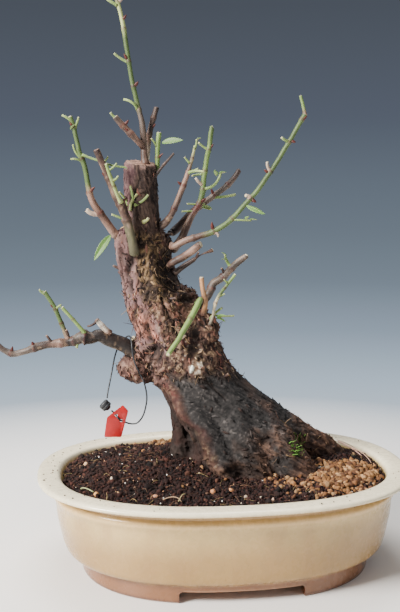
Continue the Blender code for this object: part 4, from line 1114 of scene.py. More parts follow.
SPROUTS = [
    ("leader_shoot", 0.30, (-9, -2, 6.5), 0.9, 0.8, "petiole"),
    ("leader_shoot", 0.43, (2.6, -1, 3.0), 1.2, 0.9, "bud"),
    ("leader_shoot", 0.57, (-9, -1, 5.5), 0.9, 0.8, "petiole"),
    ("leader_shoot", 0.58, (-2.4, -1.4, 3.6), 1.1, 0.9, "bud"),
    ("leader_shoot", 0.80, (2.2, -1, 3.0), 1.0, 0.8, "bud"),
    ("leader_shoot", 0.88, (-6.5, -1, 3.5), 1.0, 0.9, "petiole"),
    ("leader_shoot", 0.90, (4.5, -1, 6.0), 0.9, 0.7, "white"),
    ("leader_shoot", 0.95, (-3.0, 2, 5.0), 0.9, 0.7, "petiole"),
    ("top_stub_left", 0.45, (-3, -2, 2.5), 1.0, 0.8, "bud"),
    ("top_stub_left", 0.72, (3, -1, 3), 1.0, 0.8, "bud"),
    ("top_stub_left", 0.94, (-3.5, -1, 3.5), 0.9, 0.7, "petiole"),
    ("top_stub_right", 0.62, (2.5, -1.5, 2.5), 0.9, 0.7, "bud"),
    ("top_shoot_short", 0.55, (3.2, -2, 3), 0.8, 0.6, "bud"),
    ("top_shoot_short", 0.75, (-3.5, -2, 5), 0.7, 0.6, "petiole"),
    ("shoot_left", 0.22, (-7.5, -1, 2.5), 1.7, 1.5, "white"),
    ("shoot_left", 0.40, (3, -2, 3), 1.1, 0.9, "bud"),
    ("shoot_left", 0.66, (-5, -1, 9), 0.8, 0.7, "petiole"),
    ("shoot_left", 0.65, (-6.5, -1, 1), 0.7, 0.6, "petiole"),
    ("shoot_left", 0.90, (2.5, -1, 7), 0.8, 0.7, "petiole"),
    ("shoot_left", 0.92, (-2, -1, 2.8), 1.0, 0.8, "bud"),
    ("shoot_left", 0.97, (-5.5, -1, 3.5), 0.8, 0.7, "petiole"),
    ("shoulder_stub_left", 0.34, (-8, -2, 3.5), 0.8, 0.7, "petiole"),
    ("shoulder_stub_left", 0.50, (3, -2, 3), 1.1, 0.9, "bud"),
    ("shoulder_stub_left", 0.75, (-3, -1, 3), 1.1, 0.9, "bud"),
    ("shoulder_stub_left", 0.80, (6, -1, 5), 0.7, 0.6, "petiole"),
    ("crown_branch", 0.72, (5.5, -2, 1.5), 0.7, 0.6, "petiole"),
    ("crown_branch", 0.55, (-3, -1.5, 2.5), 1.0, 0.8, "bud"),
    ("crown_branch", 0.80, (-3.5, -1, 4), 0.7, 0.6, "petiole"),
    ("crown_branch", 0.97, (1.5, -1, 6), 0.8, 0.6, "petiole"),
    ("crown_shoot", 0.40, (-7, -2, 0.5), 0.7, 0.6, "petiole"),
    ("crown_shoot", 0.34, (-7.5, -2, 0), 0.7, 0.6, "petiole"),
    ("crown_shoot", 0.52, (11, -3, 10), 1.0, 0.8, "petiole"),
    ("crown_shoot", 0.55, (-4.5, -2, 4.5), 1.1, 0.9, "white"),
    ("crown_shoot", 0.64, (-7.5, -2, -1), 0.7, 0.6, "petiole"),
    ("crown_shoot", 0.82, (-6, -2, 4.5), 0.8, 0.7, "petiole"),
    ("crown_shoot", 0.83, (2.4, -1, 3), 0.9, 0.8, "bud"),
    ("crown_shoot", 0.42, (3.2, -2, 2.4), 1.2, 0.9, "bud"),
    ("crown_fork", 0.62, (-1.5, -2, 4), 1.0, 0.8, "bud"),
    ("crown_fork", 0.60, (15, -3, 2), 1.0, 0.9, "petiole"),
    ("crown_fork", 0.45, (6, -4, -2), 1.1, 0.8, "petiole"),
    ("crown_fork", 0.85, (2.5, -1, 3), 0.9, 0.7, "bud"),
    ("shoot_right", 0.27, (-1, -2, 5.5), 1.2, 1.0, "bud"),
    ("shoot_right", 0.27, (2.4, -1, -2.6), 1.0, 0.8, "white"),
    ("shoot_right", 0.38, (12, -2, -0.5), 0.7, 0.6, "petiole"),
    ("shoot_right", 0.52, (3.0, -1.5, -2.0), 1.2, 0.9, "bud"),
    ("shoot_right", 0.52, (-2.8, -1.5, 1.6), 1.3, 1.0, "white"),
    ("shoot_right", 0.68, (-2, -2, 5.5), 1.1, 0.8, "white"),
    ("shoot_right", 0.67, (-3, -1, 2), 1.0, 0.8, "bud"),
    ("shoot_right", 0.85, (-4.5, -2, 2.5), 0.9, 0.8, "petiole"),
    ("shoot_right", 0.86, (3, -1, -1.0), 1.0, 0.8, "bud"),
    ("shoot_right", 0.97, (2.8, -1, 2.4), 1.1, 0.9, "bud"),
    ("right_branch_low", 0.60, (-2, -2, 3.5), 1.0, 0.8, "twig"),
    ("right_branch_low", 0.72, (-4, -2, 8.5), 1.1, 0.8, "petiole"),
    ("right_stub_lower", 0.60, (1, -2, 3), 0.8, 0.6, "twig"),
    ("right_twig_low", 0.55, (3, -1, 1.5), 0.8, 0.6, "petiole"),
    ("right_twig_low", 0.80, (-2.5, -1, 2.5), 0.7, 0.5, "petiole"),
    ("limb_left", 0.36, (-1, -2, 4), 1.6, 1.3, "bud"),
    ("limb_left", 0.47, (-1, -2, 7), 1.2, 0.9, "twig"),
    ("limb_left", 0.40, (-1.5, -2, -4), 1.1, 0.8, "petiole"),
    ("limb_left", 0.58, (-3, -2, 5), 1.0, 0.8, "twig"),
    ("limb_left", 0.70, (-1, -2, 3.4), 1.2, 0.9, "bud"),
    ("limb_left", 0.86, (1, -1, 4), 1.1, 0.8, "bud"),
    ("limb_left_shoot", 0.60, (3.5, -1, 3), 0.8, 0.6, "petiole"),
    ("limb_left_shoot", 0.62, (-2.4, -1, 2.4), 0.8, 0.6, "bud"),
    ("limb_left_shoot", 0.95, (-3.5, -1, 3), 0.8, 0.6, "petiole"),
    ("limb_left_twig", 0.50, (-3, -1, 3), 0.7, 0.5, "petiole"),
    ("limb_left_stub", 0.95, (-6, -1, -3), 0.9, 0.7, "twig"),
    ("shoot_left_twig", 0.50, (3, -1, 3.5), 0.6, 0.5, "petiole"),
    ("shoulder_twig_left", 0.55, (3.5, -1, 3), 0.8, 0.6, "petiole"),
]

# The same on the trunk's front: place (across, height) and the rest as above
TRUNK_SPROUTS = [
    ((-61, 252), (-2, -3, 10), 0.9, 0.8, "petiole"),
    ((-60, 249), (9.5, -3, 7), 1.0, 0.8, "petiole"),
    ((-65, 249), (-6, -3, 9), 0.9, 0.7, "petiole"),
    ((-63, 246), (5, -4, 11), 1.0, 0.8, "yellow"),
    ((-54, 238), (3.5, -3, 2.5), 1.2, 0.9, "yellow"),
    ((-73, 205), (-5, -1, 2), 1.5, 0.7, "twig"),
    ((-62, 156), (-2.5, -3, 2), 2.2, 1.7, "white"),
    ((-36, 186), (4, -3, 1), 1.2, 0.9, "twig"),
    ((-8, 180), (20, -4, -1), 0.8, 0.6, "petiole"),
    ((-10, 170), (9, -4, 10), 1.0, 0.8, "petiole"),
    ((-22, 179), (-6, -5, -2), 0.9, 0.6, "petiole"),
    ((-24, 226), (5, -3, 1), 1.1, 0.8, "twig"),
    ((-30, 232), (4, -4, 3), 1.2, 0.9, "twig"),
    ((-31, 240), (-4, -4, 4), 1.3, 1.0, "twig"),
    ((-12, 176), (3, -3, 3), 1.4, 1.0, "bud"),
    ((0, 133), (3, -2, 2), 1.4, 0.9, "twig"),
]
SPROUT_COLOURS = {
    "petiole": (LIGHT_GREEN, (0.32, 0.38, 0.14)),
    "yellow": (YELLOW_GREEN, (0.46, 0.46, 0.18)),
    "bud": (NODE_RED, (0.085, 0.018, 0.011)),
    "white": ((0.40, 0.27, 0.20), (0.52, 0.42, 0.31)),
    "twig": (SHOOT_DARK, SHOOT_BROWN),
}

# Young leaflets: host, share of the way, foot and reach in the tree's frame, width
LEAFLETS = [
    ("leader_shoot", 0.93, (1, -1, 1), (9, -3, 3.5), 3.6),
    ("leader_shoot", 0.90, (-6, -1, 3.5), (-3, -2, 2), 2.2),
    ("crown_shoot", 0.52, (11, -3, 10), (4.5, -2, 2.5), 4.4),
    ("crown_shoot", 0.52, (9, -3, 9), (-1, -2, 4.5), 3.4),
    ("crown_fork", 0.45, (2, -4, 0), (6, -3, -1.5), 3.6),
    ("crown_fork", 0.42, (0, -4, 0), (5, -3, 3), 3.4),
    ("shoot_right", 0.38, (12, -2, -0.5), (4.5, -2, 1), 3.2),
    ("shoot_right", 0.38, (9, -2, -0.5), (2, -2, 3), 2.4),
    ("right_branch_low", 0.72, (-4, -2, 8.5), (-2.5, -2, 3), 2.8),
    ("right_branch_low", 0.72, (-3, -2, 6), (-4, -2, 1), 2.2),
    ("right_twig_low", 0.25, (2, -3, -4), (7, -3, 3), 4.4),
    ("right_twig_low", 0.25, (2, -3, -4), (6, -3, -1), 3.6),
    ("shoot_left", 0.86, (-3, -1, 3), (3, -2, 4), 2.6),
    ("shoot_left_twig", 0.98, (0, 0, 0), (3, -1, -1), 2.0),
    ("limb_left_shoot", 0.98, (0, 0, 0), (-3.5, -1, 2), 2.2),
    ("limb_left_twig", 0.98, (0, 0, 0), (-3, -1, 2), 2.2),
    ("crown_branch", 0.97, (1.5, -1, 6), (3, -1, 2), 2.0),
]
BUD_SHAPE = [(0, 0.75), (0.25, 1.0), (0.5, 0.95), (0.75, 0.62), (0.93, 0.3), (1.0, 0.08)]


def add_sprout(heap, base, reach, foot, end, kind, rng):
    """One petiole stub, bud or twig from a place in metres."""
    first, second = SPROUT_COLOURS[kind]
    length = np.linalg.norm(reach)
    sides = 10
    if kind == "bud":
        share = np.array([s for s, _ in BUD_SHAPE])
        radii = np.array([r for _, r in BUD_SHAPE]) * foot * MM
        bow = np.cross(unit(reach), rng.normal(0, 1, 3)) * length * 0.08
        route = base + reach * share[:, None] + bow * (share * (1 - share))[:, None] * 2
        tint = blend(first, second, share)
    else:
        share = np.linspace(0, 1, max(6, int(length / (0.9 * MM))))
        bow = np.cross(unit(reach), rng.normal(0, 1, 3)) * length * rng.uniform(0.08, 0.22)
        route = base + reach * share[:, None] + bow * (share * (1 - share))[:, None] * 2
        radii = (foot + (end - foot) * share + 0.55 * foot * np.exp(-share * length / MM / 0.8)) * MM
        radii *= 1 + 0.10 * field(np.stack([share * length / MM, share * 0 + foot, share * 0], 1), 1.6, 71)
        tint = blend(first, second, ramp(share, 0.2, 1.0) * 0.7)
        tint = blend(tint, NODE_RED, np.exp(-share * length / MM / 0.7) * (0.6 if kind != "white" else 0.15))
        tip = route[-1] + unit(reach) * 0.12 * MM
        route = np.concatenate([route, [tip, tip]])
        radii = np.concatenate([radii, [radii[-1] * 0.8, radii[-1] * 0.3]])
        pale = np.array(CUT_PALE if kind != "twig" else (0.34, 0.21, 0.14))
        tint = np.concatenate([tint, [pale, pale * 0.7]])
    vertices, faces = sweep(route, radii, sides)
    heap.add(vertices, faces, ring_values(tint, sides) * rng.uniform(0.85, 1.15))


LEAFLET_GREEN = (0.13, 0.26, 0.05)
LEAF_GREEN = (0.062, 0.150, 0.024)
LEAF_RIB = (0.17, 0.28, 0.07)
LEAF_EDGE = (0.14, 0.25, 0.05)


def add_leaflet(heap, base, reach, width, rng):
    """A small folded blade with a keel, thin but solid."""
    along = unit(reach)
    length = np.linalg.norm(reach)
    side = unit(np.cross(along, (0, 0, 1.0) + rng.normal(0, 0.35, 3)))
    normal = np.cross(side, along)
    rows = 9
    grid = []
    tint = []
    for level in (0.16, -0.16):
        for i in range(rows):
            t = i / (rows - 1)
            half = width * MM / 2 * max(math.sin(math.pi * t ** 0.8) ** 0.85, 0.1)
            middle = base + reach * t - normal * length * 0.16 * t * t
            for s in (-1, -0.5, 0, 0.5, 1):
                fold = normal * half * 0.45 * abs(s) ** 1.3
                thick = normal * level * MM * (1 - 0.7 * abs(s))
                grid.append(middle + side * half * s + fold + thick)
                tint.append(np.array(YELLOW_GREEN if s == 0 else LEAFLET_GREEN) * (1 - 0.15 * abs(s)))
    heap.add(np.array(grid), blade_faces(rows, 5), np.array(tint))


def make_leaf(name, host, material):
    """A leaf blade with a sunken midrib and side veins, laid through its solid."""
    co = vertices_of(NODES[name].data)
    middle = co.mean(0)
    along, side, normal = np.linalg.svd(co - middle)[2]
    ahead, behind = [host.find_nearest(Vector(middle + way * 9 * MM))[3] for way in (along, -along)]
    if ahead < behind:
        along = -along
    reach = (co - middle) @ along
    half = np.abs((co - middle) @ side).max()
    rows, columns = 25, 13
    t = np.linspace(0, 1, rows)
    shift = []
    for share in t:
        near = np.abs(reach - (reach.min() + (reach.max() - reach.min()) * share)) < 2.5 * MM
        shift.append(((co[near] - middle) @ normal).mean() if near.any() else 0)
    shift = np.convolve(np.pad(shift, 3, mode="edge"), np.ones(7) / 7, "valid")
    outline = np.maximum(np.sin(math.pi * t ** 0.85) ** 0.75, 0.06) * (1 + 0.05 * np.sin(t * 44))
    s = np.linspace(-1, 1, columns)
    grid, tint = [], []
    for level in (1, -1):
        for i in range(rows):
            vein = 0.12 * MM * np.abs(np.sin((t[i] * 7 - np.abs(s) * 1.2) * math.pi)) ** 0.3
            lift = shift[i] + half * 0.30 * np.abs(s) ** 1.4 * outline[i] + level * 0.13 * MM + vein
            place = middle + along * (reach.min() + (reach.max() - reach.min()) * t[i])
            grid.append(place + np.outer(s * half * outline[i], side) + np.outer(lift, normal))
            shade = blend(LEAF_GREEN, LEAF_RIB, np.exp(-np.abs(s) / 0.10))
            shade = blend(shade, LEAF_EDGE, np.abs(s) ** 4 * 0.6)
            tint.append(shade * (1 if level > 0 else 1.25))
    heap = Heap()
    heap.add(np.concatenate(grid), blade_faces(rows, columns), np.concatenate(tint))
    add_piece("blade_" + name, heap.mesh(name), material, [name])


def front_of(solid, across, height):
    """Where a ray from before the tree meets a solid, or None."""
    start = Vector(tree((across, -120, height)))
    return solid.ray_cast(start, Vector(unit(tree_way((0, 1, 0)))))[0]


def make_small_growth(lines, material, leaf_material):
    rng = np.random.default_rng(8)
    trunk_tree = solid_tree("trunk")
    heap = Heap()
    for host, share, reach, foot, end, kind in SPROUTS:
        place, ahead, radius = lines[host].at(share)
        reach = tree_way(reach)
        outward = unit(reach - ahead * (reach @ ahead) * 0.6)
        add_sprout(heap, place + outward * radius * 0.55, reach, foot, end, kind, rng)
    for (across, height), reach, foot, end, kind in TRUNK_SPROUTS:
        hit = front_of(trunk_tree, across, height)
        if hit is None:
            hit = trunk_tree.find_nearest(Vector(tree((across, 0, height))))[0]
        reach = tree_way(reach)
        add_sprout(heap, np.array(hit) - unit(reach) * 0.6 * MM, reach, foot, end, kind, rng)
    heap.piece("stubs_and_buds", material, "green_bark")
    leaves = Heap()
    for host, share, foot, reach, width in LEAFLETS:
        place = lines[host].at(share)[0]
        add_leaflet(leaves, place + tree_way(foot), tree_way(reach), width, rng)
    leaves.piece("leaflets", leaf_material, "leaf")


# Soil

ICO = (1 + 5 ** 0.5) / 2
ICO_POINTS = unit([(-1, ICO, 0), (1, ICO, 0), (-1, -ICO, 0), (1, -ICO, 0), (0, -1, ICO), (0, 1, ICO),
                   (0, -1, -ICO), (0, 1, -ICO), (ICO, 0, -1), (ICO, 0, 1), (-ICO, 0, -1), (-ICO, 0, 1)])


def ball(level):
    """An icosahedron's points and faces, each face split in four at level 1."""
    bm = bmesh.new()
    for point in ICO_POINTS:
        bm.verts.new(point)
    bmesh.ops.convex_hull(bm, input=bm.verts)
    bmesh.ops.recalc_face_normals(bm, faces=bm.faces)
    if level:
        bmesh.ops.subdivide_edges(bm, edges=bm.edges, cuts=1, use_grid_fill=True)
    bmesh.ops.triangulate(bm, faces=bm.faces)
    bm.verts.index_update()
    points = unit([v.co[:] for v in bm.verts])
    faces = np.array([[v.index for v in f.verts] for f in bm.faces])
    bm.free()
    return points, faces


def turns(count, rng):
    """Random rotation matrices."""
    q = unit(rng.normal(0, 1, (count, 4)))
    w, x, y, z = q.T
    rows = [1 - 2 * (y * y + z * z), 2 * (x * y - z * w), 2 * (x * z + y * w),
            2 * (x * y + z * w), 1 - 2 * (x * x + z * z), 2 * (y * z - x * w),
            2 * (x * z - y * w), 2 * (y * z + x * w), 1 - 2 * (x * x + y * y)]
    return np.stack(rows, -1).reshape(-1, 3, 3)


def add_crumbs(heap, places, sizes, tints, rng, level=0, rough=0.28):
    """Irregular lumps, each with its own shape, size (radius in metres) and tint."""
    points, faces = ball(level)
    count = len(places)
    shape = points[None] * (1 + rng.uniform(-rough, rough, (count, len(points), 1)))
    shape = shape * rng.uniform(0.65, 1.25, (count, 1, 3))
    shape = np.einsum("nij,nkj->nki", turns(count, rng), shape) * sizes[:, None, None]
    world = shape + places[:, None]
    faces = (faces[None] + np.arange(count)[:, None, None] * len(points)).reshape(-1, 3)
    heap.add(world.reshape(-1, 3), [faces], np.repeat(tints, len(points), axis=0))


SOIL_COLOURS = np.array([(0.026, 0.0085, 0.0062), (0.014, 0.005, 0.004), (0.044, 0.0145, 0.0098),
                         (0.006, 0.0026, 0.0022), (0.066, 0.026, 0.016),
                         (0.030, 0.0095, 0.0072), (0.11, 0.060, 0.038)])
GRIT_DUST = np.array([(0.55, 0.45, 0.34), (0.75, 0.71, 0.64), (0.50, 0.26, 0.14)])
FINE_ROOT_COLOURS = ((0.34, 0.25, 0.11), (0.10, 0.050, 0.030), (0.20, 0.11, 0.065), (0.05, 0.028, 0.02))
SOIL_SHARES = (0.28, 0.25, 0.15, 0.17, 0.05, 0.08, 0.02)
CLAY_COLOURS = np.array([(0.27, 0.125, 0.045), (0.34, 0.17, 0.070), (0.20, 0.085, 0.034), (0.40, 0.23, 0.11),
                         (0.11, 0.048, 0.024)])


class Ground:
    """The soil's top surface."""

    def __init__(self):
        self.solid = solid_tree("soil")
        self.low, self.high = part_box("soil")

    def drop(self, xy):
        """Places on the soil under points given in metres, and which of them hit its top."""
        down = Vector((0, 0, -1))
        hits = [self.solid.ray_cast(Vector((x, y, self.high.z + 0.02)), down)[0] for x, y in xy]
        good = np.array([hit is not None and hit.z > 57 * MM for hit in hits])
        places = np.array([hit if ok else (0, 0, 0) for hit, ok in zip(hits, good)])
        return places, good

    def scatter(self, count, rng):
        xy = rng.uniform((self.low.x, self.low.y), (self.high.x, self.high.y), (count, 2))
        places, good = self.drop(xy)
        return places[good]


def make_soil(material):
    """A lumpy skin over the soil's solid."""
    mesh = remeshed("soil_skin", NODES["soil"].data, 1.3)
    co = vertices_of(mesh)
    normals = normals_of(mesh)
    p = co / MM
    top = ramp(p[:, 2], 57, 60) * ramp(normals[:, 2], 0.1, 0.5)
    co += normals * (top * (0.9 * field(p, 4.5, 81) + 0.6 * field(p, 2.2, 82)))[:, None] * MM
    set_vertices(mesh, co)
    set_tint(mesh, blend(SOIL_COLOURS[1], SOIL_COLOURS[3], ramp(field(p, 3, 83), -0.2, 0.5)))
    add_piece("soil_bed", mesh, material, ["soil"])


def make_crumbs(ground, material):
    rng = np.random.default_rng(21)
    for name, count, size, level in (("soil_crumbs_fine", 11000, (0.35, 0.85), 0),
                                     ("soil_crumbs_finer", 9500, (0.3, 0.7), 0),
                                     ("soil_crumbs_mid", 8500, (0.6, 1.3), 0),
                                     ("soil_crumbs_coarse", 1500, (1.0, 1.9), 1),
                                     ("soil_lumps", 70, (1.9, 3.1), 1)):
        places = ground.scatter(count, rng)
        sizes = rng.uniform(*size, len(places)) * MM
        # coarser lumps lie in drifts
        drift = layered(places / MM, 24, 2, 91)
        keep = rng.random(len(places)) < 0.55 + 0.45 * ramp(drift, -0.3, 0.4)
        places, sizes = places[keep], sizes[keep]
        places = places + np.stack([rng.normal(0, 0.2, len(places)), rng.normal(0, 0.2, len(places)),
                                    rng.uniform(-0.1, 1.1, len(places))], 1) * MM
        tints = SOIL_COLOURS[rng.choice(len(SOIL_COLOURS), len(places), p=SOIL_SHARES)]
        tints = tints * rng.uniform(0.6, 1.5, (len(places), 1)) * (0.6 if name == "soil_lumps" else 0.9)
        heap = Heap()
        add_crumbs(heap, places, sizes, tints, rng, level, 0.42)
        heap.piece(name, material, "soil", smooth=False)


def make_clay_granules(ground, material):
    """Baked clay granules where their patches lie, and a few that have rolled away."""
    rng = np.random.default_rng(33)
    for node, count in (("clay_granules_right", 620), ("clay_granules_back", 150)):
        solid = solid_tree(node)
        low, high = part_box(node)
        xy = rng.uniform((low.x, low.y), (high.x, high.y), (count * 3, 2))
        hits = [solid.ray_cast(Vector((x, y, high.z + 0.01)), Vector((0, 0, -1)))[0] for x, y in xy]
        places = np.array([hit for hit in hits if hit is not None])[:count]
        sizes = (0.7 + 1.7 * rng.random(len(places)) ** 1.5) * MM
        sink = (places[:, 2] - places[:, 2].min()) / max(np.ptp(places[:, 2]), MM)
        places = places - np.outer(sink * 2.2 + rng.uniform(0.0, 1.4, len(places)), (0, 0, 1)) * MM
        tints = CLAY_COLOURS[rng.integers(0, len(CLAY_COLOURS), len(places))]
        tints = tints * rng.uniform(0.5, 1.1, (len(places), 1))
        heap = Heap()
        add_crumbs(heap, places, sizes, tints, rng, 1, 0.27)
        add_piece("loose_" + node, heap.mesh(node), material, [node], smooth=False)
    strays = ground.scatter(5200, rng)
    spot = (to_tree(strays)[:, :2] - (74, -34)) / (48, 32)
    share = 0.010 + 0.9 * (1 - ramp(np.linalg.norm(spot, axis=1), 0.55, 1.15))
    strays = strays[rng.random(len(strays)) < share]
    tints = CLAY_COLOURS[rng.integers(0, len(CLAY_COLOURS), len(strays))]
    tints = tints * rng.uniform(0.6, 1.1, (len(strays), 1))
    heap = Heap()
    strays = strays + np.array([0, 0, 0.8]) * MM
    add_crumbs(heap, strays, rng.uniform(0.8, 2.0, len(strays)) * MM, tints, rng, 1, 0.18)
    heap.piece("stray_granules", material, "clay_granules", smooth=False)


# Pale grit and other bits on the soil: place (across, depth), radius and colour
GRIT = [
    ((-76, -32), 1.7, (0.70, 0.56, 0.42)),
    ((13, -66), 1.3, (0.46, 0.34, 0.24)),
    ((-84, -58), 1.8, (0.72, 0.36, 0.13)),
    ((-8, -60), 2.2, (0.55, 0.24, 0.11)),
    ((4, -58), 1.7, (0.60, 0.27, 0.12)),
    ((-45, -66), 1.4, (0.50, 0.24, 0.14)),
    ((30, -70), 1.4, (0.55, 0.34, 0.24)),
    ((-98, 6), 1.4, (0.60, 0.38, 0.22)),
]


def make_litter(ground, material):
    """Grit, dust and fine roots that lie on the soil."""
    rng = np.random.default_rng(44)
    heap = Heap()
    spots = tree([(*place, 0) for place, _, _ in GRIT])
    places, good = ground.drop(spots[:, :2])
    sizes = np.array([size for _, size, _ in GRIT]) * MM
    tints = np.array([colour for _, _, colour in GRIT])
    places = places + np.array([0, 0, 1.3]) * MM
    add_crumbs(heap, places[good], sizes[good], tints[good], rng, 1, 0.2)
    dust = ground.scatter(220, rng) + np.array([0, 0, 1.0]) * MM
    shades = GRIT_DUST[rng.integers(0, len(GRIT_DUST), len(dust))]
    add_crumbs(heap, dust, rng.uniform(0.35, 0.8, len(dust)) * MM, shades, rng, 0)
    heap.piece("grit", material, "clay_granules", smooth=False)

    roots = Heap()
    starts = ground.scatter(430, rng)
    for start in starts[:300]:
        turn = rng.uniform(0, 2 * math.pi)
        bend = rng.normal(0, 1.1)
        reach = rng.uniform(3, 13) * MM
        t = np.linspace(0, 1, 8)
        angle = turn + bend * t
        step = np.stack([np.cos(angle), np.sin(angle), np.zeros(8)], 1) * reach / 7
        xy = start + np.cumsum(step, axis=0)
        route, good = ground.drop(xy[:, :2])
        if not good.all():
            continue
        arch = np.sin(t * math.pi) * rng.uniform(0, 1.6) * MM
        route = route + np.stack([t * 0, t * 0, arch + 0.9 * MM + 0.5 * MM * rng.random()], 1)
        thick = rng.uniform(0.10, 0.24) * MM
        colour = FINE_ROOT_COLOURS[rng.integers(4)]
        vertices, faces = sweep(route, thick * (1 - 0.6 * t), 5)
        roots.add(vertices, faces, np.array(colour) * rng.uniform(0.7, 1.3))
    roots.piece("fine_roots", material, "soil")


# Straws at the edge of the soil: two ends (across, depth, height above the soil), radius, colour
STRAWS = [
    ((-118, 8, 4), (-104, 2, 1.2), 0.5, (0.30, 0.16, 0.10)),
    ((-112, 14, 5), (-108, -2, 1.2), 0.4, (0.22, 0.12, 0.08)),
    ((86, 36, 6), (101, 20, 2), 0.55, (0.62, 0.36, 0.28)),
    ((84, 30, 8), (104, 30, 1.5), 0.4, (0.56, 0.40, 0.30)),
    ((92, 22, 5), (106, 8, 1.5), 0.4, (0.48, 0.30, 0.20)),
    ((-40, -72, 1.5), (-28, -76, 1.5), 0.4, (0.30, 0.19, 0.11)),
    ((-26, -64, 1.5), (-30, -76, 2.0), 0.35, (0.56, 0.48, 0.22)),
    ((-95, -48, 2.0), (-86, -54, 1.4), 0.5, (0.34, 0.36, 0.16)),
]
MOSS = (50, 84)                # across and height of a sprig that grows on the root flare
FALLEN_LEAF = (103, -36)


def make_plants_on_soil(ground, material, leaf_material):
    rng = np.random.default_rng(55)
    heap = Heap()
    for first, second, radius, colour in STRAWS:
        ends, good = ground.drop(tree([first, second])[:, :2])
        if not good.all():
            continue
        lift = np.array([first[2], second[2]]) * MM
        ends[:, 2] += lift
        t = np.linspace(0, 1, 10)[:, None]
        middle = np.array([0, 0, 1.2 * MM]) + rng.normal(0, 0.8, 3) * MM
        route = ends[0] * (1 - t) + ends[1] * t + middle * 4 * t * (1 - t)
        vertices, faces = sweep(route, radius * MM * (1 - 0.3 * t[:, 0]), 7)
        heap.add(vertices, faces, colour)
    heap.piece("straws", material, "twig_bark")

    sprigs = Heap()
    root = solid_tree("trunk")
    for _ in range(60):
        across = MOSS[0] + rng.normal(0, 3.0)
        height = MOSS[1] + rng.normal(0, 2.6)
        hit = front_of(root, across, height)
        if hit is None:
            continue
        reach = tree_way((rng.normal(0, 1.6), -1.6 - rng.random(), 1.8 + rng.random() * 2.6))
        t = np.linspace(0, 1, 6)[:, None]
        route = np.array(hit) + reach * t + tree_way((0, -1, -0.8)) * t * t
        vertices, faces = sweep(route, 0.42 * MM * (1.1 - t[:, 0]), 5)
        shade = np.array((0.10, 0.24, 0.03)) * rng.uniform(0.4, 1.6)
        sprigs.add(vertices, faces, shade)
    sprigs.piece("moss_sprig", leaf_material, "leaf")

    leaf = Heap()
    place, good = ground.drop(tree([(*FALLEN_LEAF, 0)])[:, :2])
    if good[0]:
        add_leaflet(leaf, place[0] + np.array([0, 0, 3.4]) * MM, tree_way((8, -3, 2)), 4.2, rng)
        add_leaflet(leaf, place[0] + np.array([0, 0, 3.2]) * MM, tree_way((-4, -3, 2.5)), 3.0, rng)
        leaf.piece("fallen_leaf", leaf_material, "leaf")


RIM_DIRT = (                   # direction in half turns, spread of the angle and count of crumbs
    (0.98, 0.20, 15), (1.25, 0.25, 9), (1.62, 0.3, 6), (0.8, 0.3, 8), (0.2, 0.8, 10),
)


def make_dirt_on_rim(material):
    """Crumbs that were left on the pot's rim."""
    rng = np.random.default_rng(66)
    rim = (POT_HIGH - POT_LOW) / 2
    places = []
    for half_turns, spread, count in RIM_DIRT:
        for angle in rng.normal(math.pi * half_turns, spread, count):
            c, s = math.cos(angle), math.sin(angle)
            inset = rng.uniform(2.5, 14.5) * MM
            x = (rim.x - inset) * math.copysign(abs(c) ** (2 / OVAL_POWER), c)
            y = (rim.y - inset) * math.copysign(abs(s) ** (2 / OVAL_POWER), s)
            places.append((POT_CENTRE.x + x, POT_CENTRE.y + y, POT_HIGH.z + 0.1 * MM))
    places = np.array(places)
    heap = Heap()
    tints = SOIL_COLOURS[rng.choice(3, len(places))] * 1.2
    add_crumbs(heap, places, rng.uniform(0.25, 0.75, len(places)) * MM, tints, rng)
    heap.piece("dirt_on_rim", material, "soil", smooth=False)


# Tag

STRING_RADIUS = 0.55
STRING_ROUTE = [
    (-81.0, -6.4, 115.2), (-80.4, -4.6, 120.0), (-78.3, -1.0, 131.0), (-76.0, 1.6, 143.0),
    (-73.2, 2.8, 150.6), (-69.4, 2.2, 155.4), (-66.2, -0.6, 157.9), (-64.4, -5.6, 157.6),
    (-63.2, -11.0, 154.0), (-62.6, -12.4, 148.2), (-61.2, -12.4, 141.5), (-58.2, -12.0, 134.5),
    (-55.0, -11.8, 127.6), (-53.2, -11.0, 118.0), (-54.0, -9.4, 110.0), (-56.4, -7.4, 102.4),
    (-60.2, -5.4, 97.4), (-64.6, -4.2, 96.4), (-68.4, -4.8, 97.6), (-70.4, -6.4, 99.0),
    (-71.2, -8.0, 99.6), (-72.0, -9.6, 100.5), (-73.8, -9.7, 102.4), (-74.6, -8.0, 103.4),
    (-75.3, -6.4, 104.0), (-76.6, -5.9, 105.0), (-78.0, -6.3, 106.3),
]


BEAD_PROFILE = [               # share of the length and of the radius
    (0.00, 0.20), (0.01, 0.34), (0.08, 0.52), (0.16, 0.60), (0.20, 0.80), (0.28, 0.97), (0.42, 1.0),
    (0.52, 0.99), (0.56, 0.93), (0.60, 0.99), (0.80, 1.0), (0.92, 0.93), (0.98, 0.76), (1.0, 0.3),
]
TAG_OUTLINE = [(-70, 110.7), (-66.2, 106.5), (-71.2, 88), (-83.2, 88), (-81.1, 101.9)]
TAG_DEPTH = -8.0
TAG_THICKNESS = 0.8
TAG_HOLES = [(-71.2, 99.6), (-74.6, 103.4)]
TAG_HOLE_RADIUS = 1.05


